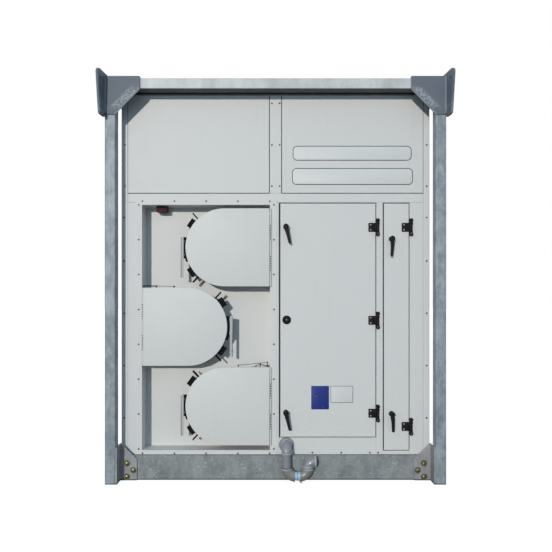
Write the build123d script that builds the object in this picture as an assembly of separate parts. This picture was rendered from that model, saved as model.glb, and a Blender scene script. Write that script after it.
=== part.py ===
from build123d import *
import os
from math import sqrt

# Industrial air conditioner for hire: a panelled housing that stands inside a galvanised lifting cage.
# Millimetres. X runs to the right, Y away from the front, Z up. The origin is on the ground, at the
# middle of the footprint.

# Cage
CAGE_WIDTH = 1900.0
CAGE_DEPTH = 1200.0
CAGE_HEIGHT = 2260.0
TUBE = 60.0  # square hollow section of posts and top beams
TUBE_ROUND = 6.0

# Folded plates at the upper corners, and their lifting ears
BRACKET_THICK = 8.0
BRACKET_REACH = 204.0
BRACKET_DROP = 210.0
BRACKET_END = 73.0
BRACKET_FOOT = 69.0
EAR_THICK = 12.0
EAR_FLARE = 7.0  # degrees outwards
EAR_REACH = 52.0  # corner plate to hole centre
EAR_HOLE_RADIUS = 12.5
EAR_HOLE_DROP = 52.0  # top of the ear to the hole centre
EAR_HEAD_RADIUS = 26.0
EAR_HEAD_REACH = 88.0  # corner plate to the foremost point of the head
EAR_TOE_RADIUS = 18.0
EAR_TOE_REACH = 62.0  # corner plate to the foremost point of the toe
EAR_INSET = 6.0  # outer edge of the corner plate to the middle of the ear
EAR_TOP = 16.0  # ear above the corner plate
EAR_DROP = 17.0  # ear below the corner plate
EAR_HEEL = 60.0  # part of the ear that stands on the corner plate

# Base frame of folded channel, and the plates that tie it to the posts
BASE_HEIGHT = 140.0
BASE_SETBACK = 80.0  # behind the front of the posts
BASE_SIDE_GAP = 8.0  # inner face of a post to the side of the base
BASE_THICK = 5.0
BASE_FLANGE = 50.0
GUSSET_HEIGHT = 206.0
GUSSET_WIDTH = 93.0
GUSSET_CHAMFER = 86.0
GUSSET_TAIL = 120.0  # behind the face of the base
GUSSET_TAIL_GAP = 4.0  # tail of the plate below the top of the base

# Housing
HOUSE_SETBACK = 100.0  # behind the front of the posts
HOUSE_SIDE_GAP = 5.0
HOUSE_TOP_GAP = 20.0  # top of the cage to the roof
ROOF_THICK = 40.0
FLOOR_THICK = 20.0
PANEL_THICK = 36.0
SEAM = 2.5  # chamfer on the outer edges of a panel
TRANSOM_HEIGHT = 54.0
MULLION_WIDTH = 70.0
LOWER_MULLION_WIDTH = 50.0
BAY_STILE_WIDTH = 81.0
DOOR_STILE_WIDTH = 38.0
LAST_STILE_WIDTH = 79.0

# Duct bay at the lower left
BAY_RIGHT = -32.0
BAY_SILL = 25.0  # bottom of the housing to the bay
BAY_HEADER = 13.0  # top of the bay to the transom
BAY_DEPTH = 100.0
BEZEL_WIDTH = 40.0
BEZEL_FOOT = 24.0
SHEET = 2.0
BAY_BACK_THICK = 20.0

# Duct spigots
SPIGOT_RADIUS = 200.0
SPIGOT_NOSE = 2.0  # end of the spigot behind the face of the housing
SPIGOT_TAIL = 12.0  # behind the back of the bay
SPIGOT_CLEARANCE = 0.3

# Clamp rings round the spigots
CLAMP_THICK = 8.0
CLAMP_LENGTH = 24.0
CLAMP_BEHIND_COVER = 6.0
BLOCK_ANGLE = 36.0
BLOCK_LENGTH = 54.0
BLOCK_REACH = 52.0  # beyond the collar
BLOCK_WALL = 6.0
CATCH_ANGLE = 47.0
CATCH_REACH = 71.0  # beyond the collar
CATCH_WIDTH = 8.0
GRIP_LENGTH = 122.0
GRIP_END = 16.0
GRIP_REACH = 43.0  # beyond the collar
GRIP_RADIUS = 4.0
GRIP_THICK = 16.0
LEVER_WIDTH = 16.0
LEVER_THICK = 3.0
LEVER_LAP = 6.0  # lever on the ends of the grip
LEVER_DROP = 111.0  # below the lower end of the grip

# Tray covers
COVER_MARGIN = 23.0  # tray beyond the collar
COVER_GAP = 7.5  # between two trays
COVER_STEM = 34.0  # straight side of the tray to the round part
COVER_PROUD = 20.0
COVER_RIM = 17.0
COVER_SHEET = 2.0
COVER_CHAMFER = 1.5
RIGHT_INSET = 2.0  # side of a tray to the right edge of the bay
LEFT_INSET = 10.0  # side of a tray to the left edge of the bay
BOTTOM_INSET = 31.5  # bottom of the bay to the lowest tray
TOP_INSET = 22.5  # highest tray to the top of the bay
PIN_RADIUS = 1.6
KNUCKLE_RADIUS = 4.0
KNUCKLES = 5
KNUCKLE_GAP = 0.5
PIVOT_FROM_TRAY = 6.0
PIVOT_PROUD = 8.0  # pivot in front of the housing face
PIN_CLEARANCE = 0.3
STRIP_SEAT = 13.0  # hinge strip on the bezel
STRIP_THICK = 1.5

# Doors
DOOR_GAP = 5.0
LARGE_DOOR_SILL = 101.0  # bottom of the housing to the door
NARROW_DOOR_SILL = 25.0
NARROW_DOOR_WIDTH = 143.0
FREE_EDGE_GAP = 7.6
PIVOT_FROM_DOOR = 10.4
HINGE_RADIUS = 11.5
HINGE_FACE_GAP = 0.5
HINGE_HEIGHT = 99.0
LEAF_HEIGHT = 51.0
LEAF_WIDTH = 41.0
LEAF_THICK = 5.0
HINGE_PIN_RADIUS = 4.0
HINGE_PLAY = 0.5
HINGE_FROM_TOP = 137.0
HINGE_FROM_BOTTOM = 135.5

# Swing handles and lock
HANDLE_BOSS_RADIUS = 15.5
HANDLE_TIP_RADIUS = 8.5
HANDLE_LENGTH = 96.0
HANDLE_STAND = 24.0
HANDLE_THICK = 14.0
HANDLE_CHAMFER = 3.5
HANDLE_GAP = 0.3
LARGE_HANDLE_INSET = 32.0
LARGE_HANDLE_DOWN = 135.0
LARGE_HANDLE_UP = 140.0
LARGE_HANDLE_TILT = 13.8
NARROW_HANDLE_INSET = 43.0
NARROW_HANDLE_DOWN = 204.0
NARROW_HANDLE_UP = 209.0
NARROW_HANDLE_TILTS = (-4.0, 1.0)
LOCK_INSET = 36.4
LOCK_ABOVE_MIDDLE = 2.5
LOCK_RADIUS = 25.0
LOCK_PROUD = 7.0
LOCK_PLUG_RADIUS = 9.0
LOCK_PLUG_PROUD = 5.0

# Condensate trap
PIPE_RADIUS = 24.0
FITTING_RADIUS = 29.0
FLANGE_RADIUS = 43.0
FLANGE_THICK = 6.0
SOCKET_DEPTH = 26.0
SOCKET_PLAY = 0.2
TRAP_LEFT = 63.0
TRAP_BEND = 45.0
UNION_LENGTH = 31.0
ELBOW_BEND = 31.0
TRAP_AXIS_PROUD = 53.0
TRAP_INLET_RISE = 56.0  # bottom of the housing to the inlet
TRAP_INLET_DROP = 39.0
TRAP_GROUND_GAP = 4.0
TRAP_OUTLET_RISE = 4.5  # lower elbow to the outlet elbow
TRAP_OUTLET_STUB = 14.0

# Red box under the ceiling of the bay
BOX_INSET = 73.0
BOX_WIDTH = 63.0
BOX_HEIGHT = 33.0
BOX_DEPTH = 40.0
BOX_BACK = 20.0  # in front of the back of the bay

# Air intake in the rear wall
INTAKE_WIDTH = 620.0
INTAKE_HEIGHT = 1160.0
INTAKE_FRAME = 30.0
INTAKE_FRAME_DEPTH = 40.0
BLADES = 18
BLADE_THICK = 3.0
BLADE_ANGLE = 45.0

# Lines that several pieces share
POST_INNER = CAGE_WIDTH / 2 - TUBE
CAGE_FRONT = -CAGE_DEPTH / 2
BASE_FRONT = CAGE_FRONT + BASE_SETBACK
BASE_SIDE = POST_INNER - BASE_SIDE_GAP
FACE = CAGE_FRONT + HOUSE_SETBACK  # front of the housing
INSIDE = FACE + PANEL_THICK
SIDE = POST_INNER - HOUSE_SIDE_GAP  # side of the housing
PANEL_SIDE = SIDE - PANEL_THICK  # where panels meet the corner profiles
HOUSE_BOTTOM = BASE_HEIGHT
HOUSE_TOP = CAGE_HEIGHT - HOUSE_TOP_GAP
ROOF_BOTTOM = HOUSE_TOP - ROOF_THICK
COVER_RADIUS = SPIGOT_RADIUS + COVER_MARGIN
SPIGOT_PITCH = 2 * COVER_RADIUS + COVER_GAP
SPIGOT_FROM_HINGE = COVER_RADIUS + COVER_STEM
BAY_LEFT = -PANEL_SIDE + BAY_STILE_WIDTH + SHEET
BAY_BOTTOM = HOUSE_BOTTOM + BAY_SILL
SPIGOT_MID_HEIGHT = BAY_BOTTOM + BOTTOM_INSET + COVER_RADIUS + SPIGOT_PITCH
BAY_TOP = SPIGOT_MID_HEIGHT + SPIGOT_PITCH + COVER_RADIUS + TOP_INSET
BAY_BACK = FACE + BAY_DEPTH
TRANSOM_BOTTOM = BAY_TOP + BAY_HEADER
TRANSOM_TOP = TRANSOM_BOTTOM + TRANSOM_HEIGHT
JAMB = BAY_RIGHT + SHEET + LOWER_MULLION_WIDTH  # side of the mullion beside the large door
LAST_STILE = PANEL_SIDE - LAST_STILE_WIDTH
NARROW_DOOR_RIGHT = LAST_STILE - DOOR_GAP
NARROW_DOOR_LEFT = NARROW_DOOR_RIGHT - NARROW_DOOR_WIDTH
STILE_RIGHT = NARROW_DOOR_LEFT - DOOR_GAP
STILE_LEFT = STILE_RIGHT - DOOR_STILE_WIDTH
LARGE_DOOR_LEFT = JAMB + FREE_EDGE_GAP
LARGE_DOOR_RIGHT = STILE_LEFT - DOOR_GAP
DOOR_TOP = TRANSOM_BOTTOM - DOOR_GAP
LARGE_DOOR_BOTTOM = HOUSE_BOTTOM + LARGE_DOOR_SILL
NARROW_DOOR_BOTTOM = HOUSE_BOTTOM + NARROW_DOOR_SILL
PIVOT_Y = FACE - HINGE_RADIUS - HINGE_FACE_GAP
LARGE_PIVOT_X = LARGE_DOOR_RIGHT + PIVOT_FROM_DOOR
NARROW_PIVOT_X = NARROW_DOOR_RIGHT + PIVOT_FROM_DOOR
UPPER_HINGE = DOOR_TOP - HINGE_FROM_TOP
LARGE_LOWER_HINGE = LARGE_DOOR_BOTTOM + HINGE_FROM_BOTTOM
NARROW_LOWER_HINGE = NARROW_DOOR_BOTTOM + HINGE_FROM_BOTTOM
LARGE_MIDDLE_HINGE = (UPPER_HINGE + LARGE_LOWER_HINGE) / 2
LARGE_HINGES = (LARGE_LOWER_HINGE, LARGE_MIDDLE_HINGE, UPPER_HINGE)
NARROW_HINGES = (NARROW_LOWER_HINGE, UPPER_HINGE)
TRAP_Y = FACE - TRAP_AXIS_PROUD
TRAP_INLET = HOUSE_BOTTOM + TRAP_INLET_RISE
TRAP_LOW = TRAP_GROUND_GAP + FITTING_RADIUS
TRAP_RIGHT = TRAP_LEFT + 2 * TRAP_BEND + UNION_LENGTH
TRAP_OUTLET = TRAP_LOW + TRAP_BEND + TRAP_OUTLET_RISE + ELBOW_BEND

parts = {}


def block(x0, x1, y0, y1, z0, z1):
    """A straight block between two corners."""
    return Pos(x0, y0, z0) * Box(x1 - x0, y1 - y0, z1 - z0, align=(Align.MIN,) * 3)


def prism(plane, points, depth):
    """A closed outline on a plane, extruded along the plane's normal."""
    return extrude(plane * make_face(Polyline(*points, close=True)), depth)


def rod(radius, start, end):
    """A round bar between two points."""
    axis = Vector(*end) - Vector(*start)
    return Plane(origin=start, z_dir=axis) * Cylinder(
        radius, axis.length, align=(Align.CENTER, Align.CENTER, Align.MIN)
    )


def to_rear(shape):
    return mirror(shape, about=Plane.XZ)


def to_left(shape):
    return mirror(shape, about=Plane.YZ)


def corners(shape):
    """A piece of the front right corner, at all four corners."""
    return {
        "front_right": shape,
        "front_left": to_left(shape),
        "rear_right": to_rear(shape),
        "rear_left": to_rear(to_left(shape)),
    }


def group(shapes):
    """Like pieces that don't touch, as one part."""
    return Compound([shape.solid() for shape in shapes])


def front_panel(x0, x1, z0, z1):
    """A flat panel in the front wall, with its outer edges chamfered."""
    panel = block(x0, x1, FACE, INSIDE, z0, z1)
    return chamfer(panel.faces().sort_by(Axis.Y)[0].edges(), SEAM)


def side_panel(z0, z1):
    """A flat panel in the right wall, between the corner profiles."""
    panel = block(PANEL_SIDE, SIDE, INSIDE, -INSIDE, z0, z1)
    return chamfer(panel.faces().sort_by(Axis.X)[-1].edges(), SEAM)


def tube(shape, axis):
    """Rounds the long edges of a square section."""
    return fillet(shape.edges().filter_by(axis), TUBE_ROUND)


def cage():
    outer = CAGE_WIDTH / 2
    beam_z = CAGE_HEIGHT - TUBE
    post = tube(block(POST_INNER, outer, CAGE_FRONT, CAGE_FRONT + TUBE, 0, CAGE_HEIGHT), Axis.Z)
    for name, shape in corners(post).items():
        parts["post_" + name] = shape
    front = tube(
        block(-POST_INNER, POST_INNER, CAGE_FRONT, CAGE_FRONT + TUBE, beam_z, CAGE_HEIGHT), Axis.X
    )
    inner = CAGE_FRONT + TUBE
    right = tube(block(POST_INNER, outer, inner, -inner, beam_z, CAGE_HEIGHT), Axis.Y)
    parts["top_beams"] = group([front, to_rear(front), right, to_left(right)])


def corner_plate(plane, far, near, depth):
    """One wall of a corner bracket: far is its outer edge and near the direction of its reach."""
    top = CAGE_HEIGHT + BRACKET_THICK
    bottom = top - BRACKET_DROP
    end = far + near * BRACKET_REACH
    return prism(
        plane,
        [
            (far, top),
            (end, top),
            (end, top - BRACKET_END),
            (far + near * BRACKET_FOOT, bottom),
            (far, bottom),
        ],
        depth,
    )


def brackets():
    """Folded corner plates over the ends of posts and beams."""
    outer_x = CAGE_WIDTH / 2 + BRACKET_THICK
    outer_y = CAGE_FRONT - BRACKET_THICK
    front = corner_plate(Plane.XZ.offset(-CAGE_FRONT), outer_x, -1, BRACKET_THICK)
    side = corner_plate(Plane.YZ.offset(CAGE_WIDTH / 2), outer_y, 1, BRACKET_THICK)
    web = BRACKET_FOOT
    top = prism(
        Plane.XY.offset(CAGE_HEIGHT),
        [
            (outer_x, outer_y),
            (outer_x - BRACKET_REACH, outer_y),
            (outer_x - BRACKET_REACH, outer_y + web),
            (outer_x - web, outer_y + BRACKET_REACH),
            (outer_x, outer_y + BRACKET_REACH),
        ],
        BRACKET_THICK,
    )
    parts["corner_brackets"] = group(corners(front + side + top).values())


def ears():
    """Flared lifting plates on the front and rear of the corner brackets, each with a round hole."""
    plate_y = CAGE_FRONT - BRACKET_THICK
    plate_top = CAGE_HEIGHT + BRACKET_THICK
    middle_x = CAGE_WIDTH / 2 + BRACKET_THICK - EAR_INSET
    top = plate_top + EAR_TOP
    bottom = plate_top - BRACKET_DROP - EAR_DROP
    head = Pos(EAR_HEAD_RADIUS - EAR_HEAD_REACH, top - EAR_HEAD_RADIUS)
    toe = Pos(EAR_TOE_RADIUS - EAR_TOE_REACH, bottom + EAR_TOE_RADIUS)
    back = 2 * EAR_HEEL
    outline = make_hull(
        (head * Circle(EAR_HEAD_RADIUS)).edges()
        + (toe * Circle(EAR_TOE_RADIUS)).edges()
        + [Edge.make_line((back, bottom), (back, top))]
    )
    outline -= Pos(-EAR_REACH, top - EAR_HOLE_DROP) * Circle(EAR_HOLE_RADIUS)
    flat = Pos(-EAR_THICK / 2, 0, 0) * extrude(Plane.YZ * outline, EAR_THICK)
    ear = Pos(middle_x, plate_y, 0) * Rot(0, 0, EAR_FLARE) * flat
    far = 2 * EAR_HEAD_REACH
    room = block(middle_x - far, middle_x + far, plate_y - far, plate_y, bottom, top)
    room += block(
        middle_x - far, middle_x + far, plate_y, plate_y + EAR_HEEL, plate_top, top
    )
    parts["lifting_ears"] = group(corners((ear & room).solid()).values())


def channel(length):
    """A folded channel along X, its web at Y = 0 and its flanges towards +Y."""
    section = make_face(
        Polyline(
            (BASE_FLANGE, 0),
            (0, 0),
            (0, BASE_HEIGHT),
            (BASE_FLANGE, BASE_HEIGHT),
            (BASE_FLANGE, BASE_HEIGHT - BASE_THICK),
            (BASE_THICK, BASE_HEIGHT - BASE_THICK),
            (BASE_THICK, BASE_THICK),
            (BASE_FLANGE, BASE_THICK),
            close=True,
        )
    )
    return Pos(-length / 2, 0, 0) * extrude(Plane.YZ * section, length)


def base():
    front = Pos(0, BASE_FRONT, 0) * channel(2 * BASE_SIDE)
    side_length = -2 * (BASE_FRONT + BASE_FLANGE)
    right = Pos(BASE_SIDE, 0, 0) * Rot(0, 0, 90) * channel(side_length)
    parts["base_channels_front_rear"] = group([front, to_rear(front)])
    parts["base_channels_sides"] = group([right, to_left(right)])


def gussets():
    """Plates that tie the base to the posts: one along the base, one across its face."""
    tail_top = BASE_HEIGHT - GUSSET_TAIL_GAP
    step = FACE - GUSSET_TAIL_GAP
    along = prism(
        Plane.YZ.offset(BASE_SIDE),
        [
            (CAGE_FRONT, 0),
            (CAGE_FRONT, GUSSET_HEIGHT),
            (step, GUSSET_HEIGHT),
            (step, tail_top),
            (BASE_FRONT + GUSSET_TAIL, tail_top),
            (BASE_FRONT + GUSSET_TAIL, 0),
        ],
        BASE_SIDE_GAP,
    )
    across = prism(
        Plane.XZ.offset(-BASE_FRONT),
        [
            (BASE_SIDE, 0),
            (BASE_SIDE, GUSSET_HEIGHT),
            (BASE_SIDE - GUSSET_WIDTH + GUSSET_CHAMFER, GUSSET_HEIGHT),
            (BASE_SIDE - GUSSET_WIDTH, GUSSET_HEIGHT - GUSSET_CHAMFER),
            (BASE_SIDE - GUSSET_WIDTH, 0),
        ],
        BASE_SIDE_GAP,
    )
    parts["base_gussets"] = group(corners(along + across).values())


def frame_of_housing():
    """Corner profiles, transoms, mullions, floor and roof."""
    profile = block(PANEL_SIDE, SIDE, FACE, INSIDE, HOUSE_BOTTOM, ROOF_BOTTOM)
    outer_edge = profile.edges().filter_by(Axis.Z).group_by(Axis.X)[-1].sort_by(Axis.Y)[0]
    profile = fillet(outer_edge, TUBE_ROUND)
    parts["corner_profiles"] = group(corners(profile).values())
    front = front_panel(-PANEL_SIDE, PANEL_SIDE, TRANSOM_BOTTOM, TRANSOM_TOP)
    right = side_panel(TRANSOM_BOTTOM, TRANSOM_TOP)
    parts["transoms"] = group([front, to_rear(front), right, to_left(right)])
    half = MULLION_WIDTH / 2
    upper = front_panel(-half, half, TRANSOM_TOP, ROOF_BOTTOM)
    lower = front_panel(BAY_RIGHT + SHEET, JAMB, HOUSE_BOTTOM, TRANSOM_BOTTOM)
    rear_lower = to_rear(front_panel(-half, half, HOUSE_BOTTOM, TRANSOM_BOTTOM))
    parts["front_mullion"] = group([upper, lower])
    parts["rear_mullion"] = group([to_rear(upper), rear_lower])
    parts["floor_tray"] = block(
        -PANEL_SIDE, PANEL_SIDE, INSIDE, -INSIDE, HOUSE_BOTTOM, HOUSE_BOTTOM + FLOOR_THICK
    )
    roof = block(-SIDE, SIDE, FACE, -FACE, ROOF_BOTTOM, HOUSE_TOP)
    parts["roof"] = chamfer(roof.faces().sort_by(Axis.Z)[-1].edges(), SEAM)


def wall_panels():
    half = MULLION_WIDTH / 2
    upper = front_panel(half, PANEL_SIDE, TRANSOM_TOP, ROOF_BOTTOM)
    side_upper = side_panel(TRANSOM_TOP, ROOF_BOTTOM)
    side_lower = side_panel(HOUSE_BOTTOM, TRANSOM_BOTTOM)
    lower = to_rear(front_panel(half, PANEL_SIDE, HOUSE_BOTTOM, TRANSOM_BOTTOM))
    parts["front_upper_panels"] = group([upper, to_left(upper)])
    parts["side_panels_right"] = group([side_upper, side_lower])
    parts["side_panels_left"] = group([to_left(side_upper), to_left(side_lower)])
    parts["rear_upper_panels"] = group([to_rear(upper), to_rear(to_left(upper))])
    parts["rear_lower_panel"] = lower
    middle_x, middle_z = intake_centre()
    window = block(
        middle_x - INTAKE_WIDTH / 2,
        middle_x + INTAKE_WIDTH / 2,
        -INSIDE,
        -FACE,
        middle_z - INTAKE_HEIGHT / 2,
        middle_z + INTAKE_HEIGHT / 2,
    )
    parts["rear_intake_panel"] = to_left(lower) - window


def intake_centre():
    """Middle of the rear wall's lower left field."""
    return -(MULLION_WIDTH / 2 + PANEL_SIDE) / 2, (HOUSE_BOTTOM + TRANSOM_BOTTOM) / 2


def intake():
    """A louvre in the rear wall: a flanged frame, and sloping blades from side to side."""
    middle_x, middle_z = intake_centre()
    back = -FACE
    half_w = INTAKE_WIDTH / 2
    half_h = INTAKE_HEIGHT / 2
    clear_w = half_w - SHEET
    clear_h = half_h - SHEET
    flange = block(
        -half_w - INTAKE_FRAME, half_w + INTAKE_FRAME, back, back + SHEET,
        -half_h - INTAKE_FRAME, half_h + INTAKE_FRAME,
    )
    sleeve = block(-half_w, half_w, back - INTAKE_FRAME_DEPTH, back + SHEET, -half_h, half_h)
    hole = block(
        -clear_w, clear_w, back - INTAKE_FRAME_DEPTH, back + SHEET, -clear_h, clear_h
    )
    pitch = 2 * clear_h / BLADES
    blade = Rot(-BLADE_ANGLE, 0, 0) * Box(2 * clear_w, pitch, BLADE_THICK)
    louvre = flange + sleeve - hole
    louvre += [
        Pos(0, back - INTAKE_FRAME_DEPTH / 2, -clear_h + (n + 0.5) * pitch) * blade
        for n in range(BLADES)
    ]
    parts["rear_intake_louvre"] = Pos(middle_x, 0, middle_z) * louvre


def door_surround():
    """Fixed pieces of the front wall round the doors and the duct bay."""
    bay_left = BAY_LEFT - SHEET
    parts["door_stiles"] = group(
        [
            front_panel(STILE_LEFT, STILE_RIGHT, HOUSE_BOTTOM, TRANSOM_BOTTOM),
            front_panel(LAST_STILE, PANEL_SIDE, HOUSE_BOTTOM, TRANSOM_BOTTOM),
        ]
    )
    parts["door_sills"] = group(
        [
            front_panel(JAMB, STILE_LEFT, HOUSE_BOTTOM, LARGE_DOOR_BOTTOM - DOOR_GAP),
            front_panel(STILE_RIGHT, LAST_STILE, HOUSE_BOTTOM, NARROW_DOOR_BOTTOM - DOOR_GAP),
        ]
    )
    parts["bay_stile"] = front_panel(-PANEL_SIDE, bay_left, HOUSE_BOTTOM, TRANSOM_BOTTOM)
    parts["bay_sill"] = front_panel(bay_left, BAY_RIGHT + SHEET, HOUSE_BOTTOM, BAY_BOTTOM - SHEET)


def duct_bay():
    """The recess: a folded bezel with its reveal, and the back that carries the spigots."""
    opening = block(BAY_LEFT, BAY_RIGHT, FACE - SHEET, BAY_BACK, BAY_BOTTOM, BAY_TOP)
    bezel = block(
        BAY_LEFT - BEZEL_WIDTH,
        BAY_RIGHT + BEZEL_WIDTH,
        FACE - SHEET,
        FACE,
        BAY_BOTTOM - BEZEL_FOOT,
        BAY_TOP + BEZEL_WIDTH,
    )
    reveal = block(
        BAY_LEFT - SHEET, BAY_RIGHT + SHEET, FACE, BAY_BACK, BAY_BOTTOM - SHEET, BAY_TOP + SHEET
    )
    parts["bay_bezel"] = bezel + reveal - opening
    back_end = BAY_BACK + BAY_BACK_THICK
    seam = SPIGOT_PITCH / 2
    levels = {
        "upper": (SPIGOT_MID_HEIGHT + seam, BAY_TOP + SHEET),
        "middle": (SPIGOT_MID_HEIGHT - seam, SPIGOT_MID_HEIGHT + seam),
        "lower": (BAY_BOTTOM - SHEET, SPIGOT_MID_HEIGHT - seam),
    }
    for name, (x, z) in spigot_centres().items():
        low, high = levels[name]
        back = block(BAY_LEFT - SHEET, BAY_RIGHT + SHEET, BAY_BACK, back_end, low, high)
        back -= rod(SPIGOT_RADIUS + SPIGOT_CLEARANCE, (x, BAY_BACK, z), (x, back_end, z))
        parts["bay_back_" + name] = back
    box_left = BAY_LEFT + BOX_INSET
    parts["red_box"] = block(
        box_left,
        box_left + BOX_WIDTH,
        BAY_BACK - BOX_BACK - BOX_DEPTH,
        BAY_BACK - BOX_BACK,
        BAY_TOP - BOX_HEIGHT,
        BAY_TOP,
    )


def spigot_centres():
    right = BAY_RIGHT - RIGHT_INSET - SPIGOT_FROM_HINGE
    left = BAY_LEFT + LEFT_INSET + SPIGOT_FROM_HINGE
    return {
        "upper": (right, SPIGOT_MID_HEIGHT + SPIGOT_PITCH),
        "middle": (left, SPIGOT_MID_HEIGHT),
        "lower": (right, SPIGOT_MID_HEIGHT - SPIGOT_PITCH),
    }


def spigots():
    """Rolled sheet collars through the back of the bay."""
    start = FACE + SPIGOT_NOSE
    end = BAY_BACK + BAY_BACK_THICK + SPIGOT_TAIL
    collar = rod(SPIGOT_RADIUS, (0, start, 0), (0, end, 0))
    collar -= rod(SPIGOT_RADIUS - SHEET, (0, start, 0), (0, end, 0))
    parts["spigots"] = group([Pos(x, 0, z) * collar for x, z in spigot_centres().values()])


def clamps():
    """Quick-release rings: two slotted blocks, two catches, a grip at the crown and its lever."""
    inner = SPIGOT_RADIUS + SPIGOT_CLEARANCE
    outer = inner + CLAMP_THICK
    root = outer - CLAMP_THICK / 2
    start = FACE - COVER_PROUD + COVER_RIM + CLAMP_BEHIND_COVER
    end = start + CLAMP_LENGTH
    block_end = SPIGOT_RADIUS + BLOCK_REACH
    catch_end = SPIGOT_RADIUS + CATCH_REACH
    grip_end = SPIGOT_RADIUS + GRIP_REACH
    half = BLOCK_LENGTH / 2
    pad = block(root, block_end, start, end, -half, half)
    pad -= block(
        outer + BLOCK_WALL, block_end - BLOCK_WALL, start, end, BLOCK_WALL - half, half - BLOCK_WALL
    )
    catch = block(root, catch_end, start, end, -CATCH_WIDTH / 2, CATCH_WIDTH / 2)
    tip = GRIP_LENGTH / 2
    grip_depth = start + GRIP_THICK
    cheek = block(sqrt(root**2 - tip**2), grip_end, start, grip_depth, tip - GRIP_END, tip)
    clamp = rod(outer, (0, start, 0), (0, end, 0)) + cheek + mirror(cheek, about=Plane.XY)
    for way in (-1, 1):
        clamp += Rot(0, way * BLOCK_ANGLE, 0) * pad
        clamp += Rot(0, way * CATCH_ANGLE, 0) * catch
    clamp -= rod(inner, (0, start, 0), (0, end, 0))
    grip_x = grip_end - GRIP_THICK / 2
    grip_y = start + GRIP_THICK / 2
    inside = tip - GRIP_END
    grip = rod(GRIP_RADIUS, (grip_x, grip_y, -inside), (grip_x, grip_y, inside))
    lever_x = grip_end - LEVER_LAP
    lever = block(
        lever_x, lever_x + LEVER_WIDTH, start - LEVER_THICK, start, -tip - LEVER_DROP, tip
    )
    places = [
        Pos(x, 0, z) * Rot(0, 0 if name == "middle" else 180, 0)
        for name, (x, z) in spigot_centres().items()
    ]
    parts["clamp_rings"] = group([place * clamp for place in places])
    levers = [
        Pos(x, 0, z) * (lever if name == "middle" else to_left(lever))
        for name, (x, z) in spigot_centres().items()
    ]
    parts["clamp_grips"] = group([place * grip for place in places] + levers)


def tray_outline(grow):
    """A D on the wall plane: its straight side at the hinge, its round end away from it."""
    radius = COVER_RADIUS + grow
    length = SPIGOT_FROM_HINGE
    return Pos(length / 2, 0) * Rectangle(length + 2 * grow, 2 * radius) + Pos(length, 0) * Circle(
        radius
    )


def tray():
    """A shallow D-shaped tray, its straight side at X = 0."""
    front = FACE - COVER_PROUD
    shell = extrude(Plane.XZ.offset(-front) * tray_outline(0), -COVER_RIM)
    shell = chamfer(shell.faces().sort_by(Axis.Y)[0].edges(), COVER_CHAMFER)
    return shell - extrude(
        Plane.XZ.offset(-front - COVER_SHEET) * tray_outline(-COVER_SHEET), -COVER_RIM
    )


def covers():
    """The three trays, each on a long pinned hinge at its straight side."""
    step = 2 * COVER_RADIUS / KNUCKLES
    pivot = -PIVOT_FROM_TRAY
    pivot_y = FACE - PIVOT_PROUD
    arm_y = pivot_y - KNUCKLE_RADIUS
    bezel_front = FACE - SHEET
    leaves = []
    for name, (x, z) in spigot_centres().items():
        inset = LEFT_INSET if name == "middle" else RIGHT_INSET
        strip = block(
            -inset - STRIP_SEAT, pivot, bezel_front - STRIP_THICK, bezel_front,
            -COVER_RADIUS, COVER_RADIUS,
        )
        pin = rod(PIN_RADIUS, (pivot, pivot_y, -COVER_RADIUS), (pivot, pivot_y, COVER_RADIUS))
        cover = tray()
        fixed = pin
        for n in range(KNUCKLES):
            low = -COVER_RADIUS + n * step + KNUCKLE_GAP / 2
            high = low + step - KNUCKLE_GAP
            knuckle = rod(KNUCKLE_RADIUS, (pivot, pivot_y, low), (pivot, pivot_y, high))
            if n % 2 == 0:
                foot = block(pivot - KNUCKLE_RADIUS, pivot, pivot_y, bezel_front, low, high)
                fixed += knuckle + foot
            else:
                arm = block(pivot, 0, arm_y, arm_y + SHEET, low, high)
                room = PIN_RADIUS + PIN_CLEARANCE
                cover += knuckle + arm
                cover -= rod(room, (pivot, pivot_y, low), (pivot, pivot_y, high))
        fixed += strip
        hinge_x = x - SPIGOT_FROM_HINGE if name == "middle" else x + SPIGOT_FROM_HINGE
        turned = (lambda shape: shape) if name == "middle" else to_left
        parts["cover_" + name] = Pos(hinge_x, 0, z) * turned(cover)
        leaves.append(Pos(hinge_x, 0, z) * turned(fixed))
    parts["cover_hinge_leaves"] = group(leaves)


def free_edge_bevel(width):
    """How far the free edge of a door slopes, so that its back corner swings no wider than its front."""
    front = FACE - PIVOT_Y
    back = front + PANEL_THICK
    return width - sqrt(width**2 + front**2 - back**2)


def door(left, right, bottom, pivot_x):
    """A flat leaf hinged at the right, its free edge bevelled, its outer edges chamfered."""
    bevel = free_edge_bevel(pivot_x - left)
    leaf = prism(
        Plane.XY.offset(bottom),
        [(left, FACE), (right, FACE), (right, INSIDE), (left + bevel, INSIDE)],
        DOOR_TOP - bottom,
    )
    return chamfer(leaf.faces().sort_by(Axis.Y)[0].edges(), SEAM / 2)


def hinge_lugs(pivot_x, height):
    """The fixed half of a door hinge: two lobes on a pin, seated on the stile."""
    half = HINGE_HEIGHT / 2
    lobe = half - LEAF_HEIGHT / 2 - HINGE_PLAY
    lugs = rod(HINGE_PIN_RADIUS, (pivot_x, PIVOT_Y, height - half), (pivot_x, PIVOT_Y, height + half))
    for low in (height - half, height + half - lobe):
        lugs += rod(HINGE_RADIUS, (pivot_x, PIVOT_Y, low), (pivot_x, PIVOT_Y, low + lobe))
        lugs += block(pivot_x, pivot_x + HINGE_RADIUS, PIVOT_Y, FACE, low, low + lobe)
    return lugs


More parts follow.
